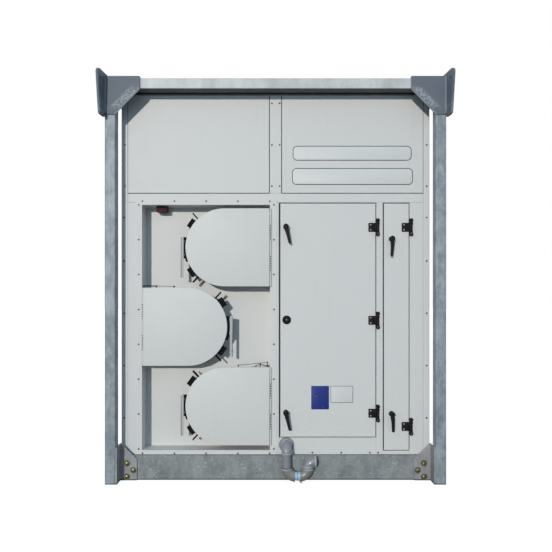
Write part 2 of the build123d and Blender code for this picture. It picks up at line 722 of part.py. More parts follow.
def hinge_leaf(pivot_x, height):
    """The moving half of a door hinge: a barrel round the pin and a plate on the door."""
    low = height - LEAF_HEIGHT / 2
    high = height + LEAF_HEIGHT / 2
    right = pivot_x - PIVOT_FROM_DOOR
    leaf = rod(HINGE_RADIUS, (pivot_x, PIVOT_Y, low), (pivot_x, PIVOT_Y, high))
    plate = block(right - LEAF_WIDTH, pivot_x, FACE - LEAF_THICK, FACE, low, high)
    room = block(right, pivot_x, FACE - HINGE_FACE_GAP, FACE, low, high)
    bore = rod(HINGE_PIN_RADIUS + PIN_CLEARANCE, (pivot_x, PIVOT_Y, low), (pivot_x, PIVOT_Y, high))
    return leaf + plate - room - bore


def doors():
    parts["large_door"] = door(
        LARGE_DOOR_LEFT, LARGE_DOOR_RIGHT, LARGE_DOOR_BOTTOM, LARGE_PIVOT_X
    )
    parts["narrow_door"] = door(
        NARROW_DOOR_LEFT, NARROW_DOOR_RIGHT, NARROW_DOOR_BOTTOM, NARROW_PIVOT_X
    )
    places = [(LARGE_PIVOT_X, z) for z in LARGE_HINGES]
    places += [(NARROW_PIVOT_X, z) for z in NARROW_HINGES]
    parts["door_hinge_lugs"] = group([hinge_lugs(x, z) for x, z in places])
    parts["large_door_hinge_leaves"] = group([hinge_leaf(LARGE_PIVOT_X, z) for z in LARGE_HINGES])
    parts["narrow_door_hinge_leaves"] = group(
        [hinge_leaf(NARROW_PIVOT_X, z) for z in NARROW_HINGES]
    )
    x = LARGE_DOOR_LEFT + LOCK_INSET
    z = LARGE_MIDDLE_HINGE + LOCK_ABOVE_MIDDLE
    lock = rod(LOCK_RADIUS, (x, FACE, z), (x, FACE - LOCK_PROUD, z))
    plug_front = FACE - LOCK_PROUD - LOCK_PLUG_PROUD
    lock += rod(LOCK_PLUG_RADIUS, (x, FACE, z), (x, plug_front, z))
    parts["large_door_lock"] = lock


def handle(x, z, tilt):
    """A swing handle: a round boss, and a tapering lever that stands off the door."""
    start = FACE - HANDLE_GAP
    lever_back = FACE - HANDLE_STAND
    boss = rod(HANDLE_BOSS_RADIUS, (0, start, 0), (0, lever_back, 0))
    outline = make_hull(
        Circle(HANDLE_BOSS_RADIUS).edges() + (Pos(0, -HANDLE_LENGTH) * Circle(HANDLE_TIP_RADIUS)).edges()
    )
    lever = extrude(Plane.XZ.offset(-lever_back) * outline, HANDLE_THICK)
    lever = chamfer(lever.faces().sort_by(Axis.Y)[0].edges(), HANDLE_CHAMFER)
    return Pos(x, 0, z) * Rot(0, -tilt, 0) * (boss + lever)


def handles():
    large_x = LARGE_DOOR_LEFT + LARGE_HANDLE_INSET
    narrow_x = NARROW_DOOR_LEFT + NARROW_HANDLE_INSET
    upper_tilt, lower_tilt = NARROW_HANDLE_TILTS
    parts["large_door_upper_handle"] = handle(
        large_x, DOOR_TOP - LARGE_HANDLE_DOWN, LARGE_HANDLE_TILT
    )
    parts["large_door_lower_handle"] = handle(
        large_x, LARGE_DOOR_BOTTOM + LARGE_HANDLE_UP, LARGE_HANDLE_TILT
    )
    parts["narrow_door_upper_handle"] = handle(
        narrow_x, DOOR_TOP - NARROW_HANDLE_DOWN, upper_tilt
    )
    parts["narrow_door_lower_handle"] = handle(
        narrow_x, NARROW_DOOR_BOTTOM + NARROW_HANDLE_UP, lower_tilt
    )


def bend(start, pivot, axis):
    """A quarter bend of a pipe fitting, from an upright end round a pivot."""
    section = Plane(origin=start) * Circle(FITTING_RADIUS)
    return revolve(section, Axis(pivot, axis), revolution_arc=90)


def trap():
    """Condensate trap: an elbow out of the front wall, a U, and an outlet socket to the right."""
    left_top = TRAP_INLET - TRAP_INLET_DROP
    low_top = TRAP_LOW + TRAP_BEND
    riser_top = low_top + TRAP_OUTLET_RISE
    bend_top = TRAP_INLET - ELBOW_BEND
    inlet = rod(FITTING_RADIUS, (TRAP_LEFT, TRAP_Y, left_top), (TRAP_LEFT, TRAP_Y, bend_top))
    inlet += bend(
        (TRAP_LEFT, TRAP_Y, bend_top), (TRAP_LEFT, TRAP_Y + ELBOW_BEND, bend_top), (-1, 0, 0)
    )
    inlet += rod(
        FITTING_RADIUS, (TRAP_LEFT, TRAP_Y + ELBOW_BEND, TRAP_INLET), (TRAP_LEFT, FACE, TRAP_INLET)
    )
    inlet += rod(
        FLANGE_RADIUS, (TRAP_LEFT, FACE - FLANGE_THICK, TRAP_INLET), (TRAP_LEFT, FACE, TRAP_INLET)
    )
    outlet_start = TRAP_RIGHT + ELBOW_BEND
    end = (outlet_start + TRAP_OUTLET_STUB, TRAP_Y, TRAP_OUTLET)
    deep = (end[0] - SOCKET_DEPTH, TRAP_Y, TRAP_OUTLET)
    outlet = bend((TRAP_RIGHT, TRAP_Y, riser_top), (outlet_start, TRAP_Y, riser_top), (0, 1, 0))
    outlet += rod(FITTING_RADIUS, (outlet_start, TRAP_Y, TRAP_OUTLET), end)
    outlet -= rod(PIPE_RADIUS + SOCKET_PLAY, deep, end)
    parts["trap_upper_elbows"] = group([inlet, outlet])
    low_left = bend(
        (TRAP_LEFT, TRAP_Y, low_top), (TRAP_LEFT + TRAP_BEND, TRAP_Y, low_top), (0, -1, 0)
    )
    low_right = bend(
        (TRAP_RIGHT, TRAP_Y, low_top), (TRAP_RIGHT - TRAP_BEND, TRAP_Y, low_top), (0, 1, 0)
    )
    parts["trap_lower_elbows"] = group([low_left, low_right])
    leg = rod(PIPE_RADIUS, (TRAP_LEFT, TRAP_Y, low_top), (TRAP_LEFT, TRAP_Y, left_top))
    riser = rod(PIPE_RADIUS, (TRAP_RIGHT, TRAP_Y, low_top), (TRAP_RIGHT, TRAP_Y, riser_top))
    parts["trap_pipes"] = group([leg, riser])
    parts["trap_union"] = rod(
        PIPE_RADIUS,
        (TRAP_LEFT + TRAP_BEND, TRAP_Y, TRAP_LOW),
        (TRAP_RIGHT - TRAP_BEND, TRAP_Y, TRAP_LOW),
    )


cage()
brackets()
ears()
base()
gussets()
frame_of_housing()
wall_panels()
intake()
door_surround()
duct_bay()
spigots()
clamps()
covers()
doors()
handles()
trap()

os.makedirs("parts", exist_ok=True)
for name, shape in parts.items():
    export_step(shape, os.path.join("parts", name + ".step"))
print(len(parts), "nodes")
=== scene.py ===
import logging
import math
from dataclasses import dataclass, field
from enum import Enum
from typing import Sequence

import bmesh
import bpy
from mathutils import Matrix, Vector


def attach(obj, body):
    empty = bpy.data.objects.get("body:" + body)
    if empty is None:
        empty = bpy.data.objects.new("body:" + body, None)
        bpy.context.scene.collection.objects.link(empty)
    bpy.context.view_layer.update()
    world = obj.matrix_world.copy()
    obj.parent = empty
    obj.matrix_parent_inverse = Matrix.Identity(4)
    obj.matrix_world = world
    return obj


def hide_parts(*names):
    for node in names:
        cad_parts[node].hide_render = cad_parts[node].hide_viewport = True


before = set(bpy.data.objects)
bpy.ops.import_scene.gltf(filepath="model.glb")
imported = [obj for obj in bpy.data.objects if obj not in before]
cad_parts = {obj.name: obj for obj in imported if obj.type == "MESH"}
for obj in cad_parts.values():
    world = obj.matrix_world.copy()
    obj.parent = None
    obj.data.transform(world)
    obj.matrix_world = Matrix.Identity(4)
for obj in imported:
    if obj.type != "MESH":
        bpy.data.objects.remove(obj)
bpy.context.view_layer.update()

LOG = logging.getLogger("air_conditioner")
FACE = -0.5
Point = tuple[float, float, float]
Outline = list[tuple[float, float]]


class Facing(Enum):
    """The way a fastener or plate looks out of the wall that carries it."""

    FRONT = (0.0, -1.0, 0.0)
    REAR = (0.0, 1.0, 0.0)
    RIGHT = (1.0, 0.0, 0.0)
    LEFT = (-1.0, 0.0, 0.0)
    UP = (0.0, 0.0, 1.0)


class Signal:
    """A shader socket that adds its Math nodes when it is used in an expression."""

    def __init__(self, graph: "Graph", socket: bpy.types.NodeSocket) -> None:
        """Keeps the socket and the graph that it belongs to."""
        self.graph = graph
        self.socket = socket

    def __add__(self, other: "Signal | float") -> "Signal":
        """Sum."""
        return self.graph.math("ADD", self, other)

    __radd__ = __add__

    def __sub__(self, other: "Signal | float") -> "Signal":
        """Difference."""
        return self.graph.math("SUBTRACT", self, other)

    def __rsub__(self, other: "Signal | float") -> "Signal":
        """Difference from a number."""
        return self.graph.math("SUBTRACT", other, self)

    def __mul__(self, other: "Signal | float") -> "Signal":
        """Product."""
        return self.graph.math("MULTIPLY", self, other)

    __rmul__ = __mul__

    def __truediv__(self, other: "Signal | float") -> "Signal":
        """Quotient."""
        return self.graph.math("DIVIDE", self, other)

    def __rtruediv__(self, other: "Signal | float") -> "Signal":
        """Quotient of a number."""
        return self.graph.math("DIVIDE", other, self)

    def __pow__(self, other: "Signal | float") -> "Signal":
        """Power."""
        return self.graph.math("POWER", self, other)

    def abs(self) -> "Signal":
        """Size without its sign."""
        return self.graph.math("ABSOLUTE", self)

    def step(self, low: float, high: float) -> "Signal":
        """Smooth rise from 0 at low to 1 at high, or a fall where low is the greater.

        Args:
            low: Value that gives 0.
            high: Value that gives 1.

        Returns:
            A signal from 0 to 1.
        """
        flip = low > high
        edges = (high, low) if flip else (low, high)
        rise = self.graph.node(
            "ShaderNodeMapRange",
            {"interpolation_type": "SMOOTHSTEP", "clamp": True},
            {"Value": self, "From Min": edges[0], "From Max": edges[1]},
            "Result",
        )
        return 1.0 - rise if flip else rise


Value = Signal | float | Sequence[float]


class Graph:
    """The node tree of one finish, built by expressions."""

    def __init__(self, name: str) -> None:
        """Starts an empty material with its shader and output."""
        self.material = bpy.data.materials.new(name)
        self.material.use_nodes = True
        self.tree = self.material.node_tree
        self.tree.nodes.clear()
        self.shader = self.tree.nodes.new("ShaderNodeBsdfPrincipled")
        output = self.tree.nodes.new("ShaderNodeOutputMaterial")
        self.tree.links.new(self.shader.outputs["BSDF"], output.inputs["Surface"])
        texture = self.tree.nodes.new("ShaderNodeTexCoord")
        self.place = Signal(self, texture.outputs["Object"])

    def node(
        self, kind: str, settings: dict[str, object], inputs: dict[str | int, Value], out: str | int = 0
    ) -> Signal:
        """Adds a node.

        Args:
            kind: The node's type.
            settings: Its own settings, which are set first.
            inputs: Values or links of its sockets, by name or number.
            out: The socket that is read.

        Returns:
            The chosen output.
        """
        made = self.tree.nodes.new(kind)
        for key, value in settings.items():
            if key == "stops":
                self._stops(made, value)
            else:
                setattr(made, key, value)
        for key, value in inputs.items():
            self.feed(made.inputs[key], value)
        return Signal(self, made.outputs[out])

    def _stops(self, ramp: bpy.types.Node, stops: object) -> None:
        """Sets the stops of a colour ramp."""
        elements = ramp.color_ramp.elements
        while len(elements) < len(stops):
            elements.new(0.5)
        for element, (place, colour) in zip(elements, stops):
            element.position = place
            element.color = (*colour, 1.0)

    def feed(self, socket: bpy.types.NodeSocket, value: Value) -> None:
        """Links or sets one input socket."""
        if isinstance(value, Signal):
            self.tree.links.new(value.socket, socket)
        elif isinstance(value, (tuple, list)) and len(value) == 3 and socket.type == "RGBA":
            socket.default_value = (*value, 1.0)
        else:
            socket.default_value = value

    def math(self, operation: str, *terms: "Signal | float") -> Signal:
        """Adds a Math node."""
        return self.node("ShaderNodeMath", {"operation": operation}, dict(enumerate(terms)))

    def mix(self, share: "Signal | float", first: Value, second: Value) -> Signal:
        """Blends two colours.

        Args:
            share: How much of the second colour shows.
            first: Colour at 0.
            second: Colour at 1.

        Returns:
            The blended colour.
        """
        return self.node(
            "ShaderNodeMix",
            {"data_type": "RGBA", "clamp_factor": True},
            {0: share, 6: first, 7: second},
            2,
        )

    def stretched(self, scale: Sequence[float], turn: Sequence[float] = (0.0, 0.0, 0.0)) -> Signal:
        """Object coordinates with their own scale on each axis."""
        return self.node(
            "ShaderNodeMapping", {}, {"Vector": self.place, "Scale": scale, "Rotation": turn}
        )

    def noise(
        self, scale: float, detail: float = 3.0, rough: float = 0.5, at: Signal | None = None
    ) -> Signal:
        """Soft noise from 0 to 1."""
        return self.node(
            "ShaderNodeTexNoise",
            {},
            {"Vector": at or self.place, "Scale": scale, "Detail": detail, "Roughness": rough},
            "Fac",
        )

    def cells(self, scale: float, out: str = "Distance", at: Signal | None = None) -> Signal:
        """Crystal cells."""
        return self.node("ShaderNodeTexVoronoi", {}, {"Vector": at or self.place, "Scale": scale}, out)

    def grey(self, colour: Signal) -> Signal:
        """One number from a cell's colour."""
        return self.node("ShaderNodeSeparateColor", {}, {"Color": colour}, 0)

    def axis(self, name: str) -> Signal:
        """One of the object coordinates, in metres."""
        return self.node("ShaderNodeSeparateXYZ", {}, {"Vector": self.place}, name)

    def bump(self, height: Signal, strength: float, depth: float) -> None:
        """Feeds the shader's normal with a height."""
        normal = self.node(
            "ShaderNodeBump", {}, {"Strength": strength, "Distance": depth, "Height": height}
        )
        self.feed(self.shader.inputs["Normal"], normal)

    def finish(
        self, colour: Value, rough: "Signal | float", metal: float = 0.0, coat: float = 0.0,
        shine: float = 0.5,
    ) -> bpy.types.Material:
        """Feeds the shader and hands over the material.

        Args:
            colour: Base colour.
            rough: Roughness.
            metal: Metallic share, the same all over.
            coat: Clear coat weight, the same all over.
            shine: Specular level, the same all over.

        Returns:
            The finished material.
        """
        self.feed(self.shader.inputs["Base Color"], colour)
        self.feed(self.shader.inputs["Roughness"], rough)
        self.shader.inputs["Metallic"].default_value = metal
        self.shader.inputs["Coat Weight"].default_value = coat
        self.shader.inputs["Specular IOR Level"].default_value = shine
        return self.material


@dataclass(frozen=True)
class Galvanised:
    """Hot-dip zinc on rolled steel: crystal spangle, pale runs, stains and spatter, and painted shade: a thin band in
    Z darkened to near black for the contact shade at the feet and the shade under the beams.
    """

    name: str
    dark: Point
    pale: Point
    spatter: float = 0.0
    blotch_scale: float = 9.0
    runs: float = 0.25
    stains: float = 0.25
    metal: float = 0.25
    # Z band darkened to near black as painted shade; a negative top means none.
    painted_shade_from: float = -1.0
    painted_shade_to: float = -1.0

    def build(self) -> bpy.types.Material:
        """Makes the material."""
        g = Graph(self.name)
        spangle = g.grey(g.cells(62.0, "Color"))
        fine = g.noise(240.0, 4.0, 0.65)
        blotch = g.noise(self.blotch_scale, 6.0, 0.62, g.stretched((1.0, 1.0, 0.55)))
        cloud = g.noise(2.3, 3.0)
        tone = blotch.step(0.30, 0.70) * 0.62 + spangle * 0.20 + fine * 0.2 + cloud * 0.25 - 0.15
        colour = g.mix(tone, self.dark, self.pale)
        bright = tuple(min(1.0, c * 1.35) for c in self.pale)
        runs = g.noise(26.0, 3.0, 0.5, g.stretched((1.0, 1.0, 0.08))).step(0.6, 0.78)
        colour = g.mix(runs * self.runs, colour, bright)
        stain = g.noise(5.0, 4.0).step(0.62, 0.8)
        colour = g.mix(stain * self.stains, colour, tuple(c * 0.6 for c in self.dark))
        if self.spatter:
            patches = g.noise(11.0, 2.0).step(0.42, 0.6)
            upper = g.axis("Z").step(0.070, 0.136) * 0.7 + 0.3
            specks = g.noise(95.0, 2.0, 0.4).step(0.60, 0.68) * g.math("MAXIMUM", patches, upper * 0.8)
            colour = g.mix(specks * self.spatter, colour, (0.60, 0.61, 0.60))
            pits = g.noise(140.0, 2.0, 0.5, g.stretched((1.0, 0.9, 1.1))).step(0.63, 0.70)
            colour = g.mix(pits * self.spatter, colour, (0.05, 0.055, 0.06))
        # Painted shade: the band between the two Z limits goes near black. It stands in for contact shade at the feet
        # and shade on the beams' underside.
        if self.painted_shade_to > 0.0:
            edge = g.axis("Z").step(self.painted_shade_from, self.painted_shade_to)
            colour = g.mix(edge * (0.95 - 0.25 * fine), colour, (0.020, 0.022, 0.020))
        g.bump(spangle * 0.3 + fine * 0.4 + blotch * 0.6, 0.25, 0.0012)
        return g.finish(colour, 0.46 + 0.22 * fine + 0.08 * spangle, self.metal)


@dataclass(frozen=True)
class HousePaint:
    """Warm light grey powder coat with faint orange peel, dust and rain marks."""

    name: str
    colour: Point = (0.656, 0.656, 0.650)
    grime: float = 0.16

    def build(self) -> bpy.types.Material:
        """Makes the material."""
        g = Graph(self.name)
        wide = g.noise(1.3, 3.0)
        mottle = g.noise(14.0, 4.0)
        colour = g.mix(wide * 0.5 + mottle * 0.2, self.colour, tuple(c * 0.955 for c in self.colour))
        rain = g.noise(34.0, 3.0, 0.6, g.stretched((1.0, 1.0, 0.035))).step(0.56, 0.82)
        low = g.axis("Z").step(0.75, 0.12)
        colour = g.mix(rain * self.grime, colour, (0.44, 0.43, 0.40))
        dust = g.noise(55.0, 5.0, 0.7).step(0.5, 0.8) * low
        colour = g.mix(dust * self.grime * 1.5, colour, (0.36, 0.34, 0.30))
        scuff = g.noise(210.0, 1.0, 0.3, g.stretched((1.0, 1.0, 0.12), (0.0, 0.6, 0.3))).step(0.74, 0.8)
        colour = g.mix(scuff * 0.2, colour, (0.50, 0.50, 0.49))
        peel = g.noise(620.0, 2.0, 0.45)
        g.bump(peel, 0.10, 0.0004)
        return g.finish(colour, 0.48 + 0.10 * mottle + 0.08 * dust)


@dataclass(frozen=True)
class BracketPaint:
    """Grey paint over the corner plates, scribbled and scraped pale along their sloping edge, with a painted
    highlight line right on that edge and a painted highlight smear low by the ears.
    """

    name: str
    colour: Point = (0.104, 0.126, 0.158)
    edge_sum: float = 2.949

    def build(self) -> bpy.types.Material:
        """Makes the material."""
        g = Graph(self.name)
        brush = g.noise(130.0, 3.0, 0.6, g.stretched((0.12, 1.0, 1.0)))
        cloud = g.noise(9.0, 4.0)
        colour = g.mix(cloud * 0.5 + brush * 0.2, self.colour, tuple(c * 1.34 for c in self.colour))
        across, up = g.axis("X").abs(), g.axis("Z")
        from_edge = across + up - self.edge_sum
        band = from_edge.step(0.078, 0.050) * from_edge.step(0.002, 0.014)
        middle = (up - 2.150).abs().step(0.075, 0.035)
        curl = (g.noise(58.0, 2.0, 0.5) - 0.5).abs().step(0.045, 0.012)
        hatch = (g.noise(95.0, 3.0, 0.6, g.stretched((1.0, 1.0, 0.4), (0.0, 0.6, 0.0))) - 0.5).abs()
        marks = g.math("MAXIMUM", curl, hatch.step(0.040, 0.010) * 0.7)
        colour = g.mix(marks * band * middle * 0.72, colour, (0.50, 0.53, 0.56))
        dust = g.noise(45.0, 5.0, 0.7).step(0.40, 0.70) * band * middle
        colour = g.mix(dust * 0.25, colour, (0.34, 0.36, 0.38))
        # Painted highlight: a pale line within a few millimetres of the sloping edge.
        colour = g.mix(from_edge.step(0.0050, 0.0020) * 0.55, colour, (0.46, 0.49, 0.52))
        # Painted highlight: a pale smear low on the plates' outer ends, by the ears' roots.
        painted_root_highlight = across.step(0.925, 0.945) * up.step(2.150, 2.080) * g.noise(30.0, 3.0).step(0.4, 0.6)
        colour = g.mix(painted_root_highlight * 0.35, colour, (0.36, 0.36, 0.37))
        chips = g.noise(75.0, 4.0, 0.7).step(0.71, 0.75)
        colour = g.mix(chips * 0.5, colour, (0.33, 0.34, 0.34))
        g.bump(brush * 0.6 + marks * band * 0.4, 0.2, 0.0005)
        return g.finish(colour, 0.56 + 0.14 * cloud, 0.05)


@dataclass(frozen=True)
class ZincSheet:
    """Bright rolled sheet steel with a lengthways grain."""

    name: str
    dark: Point = (0.30, 0.31, 0.32)
    pale: Point = (0.60, 0.61, 0.61)

    def build(self) -> bpy.types.Material:
        """Makes the material."""
        g = Graph(self.name)
        grain = g.noise(300.0, 2.0, 0.5, g.stretched((0.06, 1.0, 1.0)))
        blotch = g.noise(18.0, 4.0)
        colour = g.mix(grain * 0.5 + blotch * 0.5, self.dark, self.pale)
        g.bump(grain, 0.2, 0.0004)
        return g.finish(colour, 0.34 + 0.2 * grain, 0.6)


@dataclass(frozen=True)
class YellowZinc:
    """Yellow passivated bolts, dulled by weather."""

    name: str

    def build(self) -> bpy.types.Material:
        """Makes the material."""
        g = Graph(self.name)
        swirl = g.noise(60.0, 3.0)
        colour = g.mix(swirl.step(0.3, 0.7), (0.13, 0.115, 0.05), (0.27, 0.25, 0.15))
        rust = g.noise(170.0, 3.0).step(0.6, 0.72)
        colour = g.mix(rust * 0.5, colour, (0.16, 0.10, 0.06))
        g.bump(swirl, 0.2, 0.0006)
        return g.finish(colour, 0.26 + 0.2 * swirl, 0.65)


@dataclass(frozen=True)
class Moulded:
    """Moulded plastic or rubber with a fine grain and handling marks."""

    name: str
    colour: Point
    rough: float = 0.42
    dust: float = 0.10
    grain: float = 0.22
    coat: float = 0.0
    shine: float = 0.5

    def build(self) -> bpy.types.Material:
        """Makes the material."""
        g = Graph(self.name)
        grain = g.noise(900.0, 2.0, 0.6)
        cloud = g.noise(38.0, 4.0)
        lift = tuple(min(1.0, c * 1.25 + 0.012) for c in self.colour)
        colour = g.mix(cloud * 0.7 + grain * 0.2, self.colour, lift)
        film = g.noise(70.0, 5.0, 0.7).step(0.5, 0.75)
        colour = g.mix(film * self.dust, colour, (0.42, 0.40, 0.36))
        g.bump(grain, self.grain, 0.0003)
        rough = self.rough + 0.12 * cloud + 0.2 * film * self.dust
        return g.finish(colour, rough, 0.0, self.coat, self.shine)


@dataclass(frozen=True)
class Printed:
    """A blank printed plate: a field, and a border at a distance from its edge."""

    name: str
    field: Point
    line: Point
    centre: tuple[float, float]
    half: tuple[float, float]
    corner: float
    inset: float
    width: float

    def build(self) -> bpy.types.Material:
        """Makes the material."""
        g = Graph(self.name)
        across = (g.axis("X") - self.centre[0]).abs() - (self.half[0] - self.corner)
        up = (g.axis("Z") - self.centre[1]).abs() - (self.half[1] - self.corner)
        out_x = g.math("MAXIMUM", across, 0.0)
        out_z = g.math("MAXIMUM", up, 0.0)
        inner = g.math("MINIMUM", g.math("MAXIMUM", across, up), 0.0)
        distance = (out_x * out_x + out_z * out_z) ** 0.5 + inner - self.corner
        ring = (distance + self.inset).abs().step(self.width * 0.62, self.width * 0.38)
        wear = g.noise(90.0, 4.0)
        pale = tuple(min(1.0, c * 1.1 + 0.01) for c in self.field)
        colour = g.mix(wear * 0.8, self.field, pale)
        colour = g.mix(ring, colour, self.line)
        scratch = g.noise(260.0, 1.0, 0.3, g.stretched((0.1, 1.0, 1.0), (0.0, 0.4, 0.0))).step(0.72, 0.78)
        colour = g.mix(scratch * 0.25, colour, (0.60, 0.60, 0.60))
        g.bump(wear, 0.1, 0.0003)
        return g.finish(colour, 0.42 + 0.15 * wear, 0.0, 0.0, 0.3)


@dataclass(frozen=True)
class Bead:
    """Weld metal: rippled and dull."""

    name: str
    colour: Point = (0.20, 0.215, 0.235)

    def build(self) -> bpy.types.Material:
        """Makes the material."""
        g = Graph(self.name)
        ripple = g.noise(260.0, 3.0)
        colour = g.mix(ripple, self.colour, tuple(c * 1.7 for c in self.colour))
        g.bump(ripple, 0.5, 0.0008)
        return g.finish(colour, 0.45 + 0.2 * ripple, 0.4)


class Finishes:
    """Every finish of the object, made once."""

    def __init__(self) -> None:
        """Builds the materials."""
        # The painted shade bands: the bottom few millimetres of posts, base and gussets, and the beams' underside.
        self.post = Galvanised(
            "galvanised_posts", (0.145, 0.182, 0.210), (0.368, 0.415, 0.450), 0.0, 24.0, 0.15,
            painted_shade_from=0.0080, painted_shade_to=0.0030,
        ).build()
        self.beam = Galvanised(
            "galvanised_beams", (0.37, 0.395, 0.41), (0.58, 0.605, 0.62), 0.0, 9.0, 0.2, 0.12,
            painted_shade_from=2.2030, painted_shade_to=2.2004,
        ).build()
        self.base = Galvanised(
            "galvanised_base", (0.145, 0.165, 0.174), (0.312, 0.338, 0.348), 0.34, 16.0, 0.12,
            painted_shade_from=0.0100, painted_shade_to=0.0040,
        ).build()
        self.gusset = Galvanised(
            "galvanised_gussets", (0.215, 0.222, 0.242), (0.390, 0.395, 0.412), 0.25, 18.0, 0.05,
            painted_shade_from=0.0100, painted_shade_to=0.0040,
        ).build()
        self.bracket = BracketPaint("bracket_paint").build()
        self.house = HousePaint("house_paint").build()
        self.bay = HousePaint("bay_paint", (0.654, 0.656, 0.644), 0.08).build()
        self.zinc = ZincSheet("zinc_sheet").build()
        # Dark zinc: on the fixed hinge teeth it is painted shade for the gaps; on the lever lips it is their dark
        # edge.
        self.dark_zinc_and_painted_shade = ZincSheet("dark_zinc_and_painted_shade", (0.10, 0.10, 0.10), (0.24, 0.24, 0.23)).build()
        self.yellow = YellowZinc("yellow_zinc").build()
        self.black = Moulded("black_fittings", (0.004, 0.004, 0.006), 0.40, 0.02, 0.12, 0.0, 0.10).build()
        self.clamp = Moulded("clamp_rubber", (0.004, 0.004, 0.005), 0.60, 0.02, 0.2, 0.0, 0.06).build()
        self.seal = Moulded("dark_seal", (0.030, 0.030, 0.032), 0.7, 0.1, 0.3, 0.0, 0.2).build()
        self.lever = Moulded("lever_plate", (0.40, 0.41, 0.41), 0.50, 0.15, 0.1, 0.0, 0.4).build()
        self.screw = ZincSheet("screw_zinc", (0.06, 0.06, 0.06), (0.20, 0.20, 0.19)).build()
        self.recess = Moulded("screw_recess", (0.01, 0.01, 0.01), 0.6, 0.0, 0.1, 0.0, 0.2).build()
        # Painted shade: the red is darkened close to black, as the box looks in shade.
        self.red = Moulded("red_enamel_darkened_as_shade", (0.042, 0.004, 0.010), 0.45, 0.02, 0.1, 0.0, 0.08).build()
        self.pipe = Moulded("dark_grey_pipe", (0.205, 0.212, 0.242), 0.26, 0.10, 0.05, 0.5).build()
        self.elbow = Moulded("light_grey_fitting", (0.205, 0.215, 0.235), 0.24, 0.10, 0.05, 0.6).build()
        self.beige = Moulded("beige_fitting", (0.190, 0.182, 0.165), 0.26, 0.16, 0.05, 0.6).build()
        self.collar = Moulded("fitting_collars", (0.33, 0.345, 0.365), 0.24, 0.08, 0.05, 0.6).build()
        self.blue_pipe = Moulded("blue_pipe", (0.33, 0.48, 0.66), 0.26, 0.04, 0.05, 0.5).build()
        self.weld = Bead("weld_metal").build()


def publish(mesh: bpy.types.Mesh, name: str, material: bpy.types.Material | None) -> bpy.types.Object:
    """Links a mesh as an object at the origin.

    Args:
        mesh: The finished mesh.
        name: Name of the piece.
        material: Its finish, or None where the mesh carries its own.

    Returns:
        The new object.
    """
    mesh.name = name
    piece = bpy.data.objects.new(name, mesh)
    bpy.context.scene.collection.objects.link(piece)
    if material is not None:
        mesh.materials.clear()
        mesh.materials.append(material)
    return piece


def smooth(mesh: bpy.types.Mesh, angle: float = 40.0) -> None:
    """Shades a mesh smooth, with sharp edges past an angle in degrees."""
    mesh.shade_smooth()
    mesh.set_sharp_from_angle(angle=math.radians(angle))


class Shape:
    """Gathers closed solids in one mesh."""

    def __init__(self) -> None:
        """Starts empty."""
        self.bm = bmesh.new()

    def loops(self, rings: Sequence[Sequence[Point]], close: bool = False) -> None:
        """Skins a row of rings with the same number of points, and caps its ends.

        Args:
            rings: The rings, from one end to the other.
            close: Whether the last ring joins the first, which then has no caps.
        """
        made = [[self.bm.verts.new(p) for p in ring] for ring in rings]
        count = len(made[0])
        pairs = list(zip(made, made[1:])) + ([(made[-1], made[0])] if close else [])
        faces = [
            self.bm.faces.new((a[i], a[(i + 1) % count], b[(i + 1) % count], b[i]))
            for a, b in pairs
            for i in range(count)
        ]
        if not close:
            faces.append(self.bm.faces.new(list(reversed(made[0]))))
            faces.append(self.bm.faces.new(made[-1]))
        bmesh.ops.recalc_face_normals(self.bm, faces=faces)

    def block(self, low: Point, high: Point, edge: float = 0.0) -> None:
        """A box between two corners, its edges rounded where edge is above 0."""
        made = bmesh.ops.create_cube(self.bm, size=1.0)["verts"]
        size = Vector(high) - Vector(low)
        middle = (Vector(high) + Vector(low)) / 2
        for vert in made:
            vert.co = Vector(a * b for a, b in zip(vert.co, size)) + middle
        if edge:
            edges = {e for v in made for e in v.link_edges}
            bmesh.ops.bevel(
                self.bm, geom=list(edges), offset=edge, segments=2, affect="EDGES", profile=0.5
            )

    def slab(self, outline: Outline, front: float, back: float, edge: float, steps: int = 3) -> None:
        """A plate on the wall plane whose front edge is rounded.

        Args:
            outline: Its outline in X and Z, anticlockwise from the front.
            front: Y of its front.
            back: Y of its back.
            edge: Radius of the front edge.
            steps: Segments of the rounding.
        """
        rings = [[(x, back, z) for x, z in outline]]
        for n in range(steps + 1):
            angle = math.pi / 2 * n / steps
            grow = -edge * (1 - math.cos(angle))
            y = front + edge * (1 - math.sin(angle))
            rings.append([(x, y, z) for x, z in offset(outline, grow)])
        self.loops(rings)

    def tube(self, points: Sequence[Point], radius: float, sides: int = 10) -> None:
        """A round wire along a row of points."""
        rings = []
        for n, point in enumerate(points):
            before = Vector(points[max(0, n - 1)])
            after = Vector(points[min(len(points) - 1, n + 1)])
            rings.append(circle(Vector(point), after - before, radius, sides))
        self.loops(rings)

    def lathe(self, origin: Point, axis: Point, profile: Sequence[tuple[float, float]], sides: int = 32) -> None:
        """A turned solid.

        Args:
            origin: Start of its axis.
            axis: Direction of the axis.
            profile: Pairs of distance along the axis and radius.
            sides: Number of sides.
        """
        way = Vector(axis).normalized()
        self.loops([circle(Vector(origin) + way * d, way, r, sides) for d, r in profile])

    def ring(self, origin: Point, axis: Point, profile: Sequence[tuple[float, float]], sides: int = 48) -> None:
        """A closed band, such as a bead or seal, from a closed profile."""
        way = Vector(axis).normalized()
        self.loops([circle(Vector(origin) + way * d, way, r, sides) for d, r in profile], True)

    def done(
        self, name: str, material: bpy.types.Material | None, angle: float = 40.0
    ) -> bpy.types.Object:
        """Hands over the piece."""
        mesh = bpy.data.meshes.new(name)
        self.bm.to_mesh(mesh)
        self.bm.free()
        smooth(mesh, angle)
        return publish(mesh, name, material)


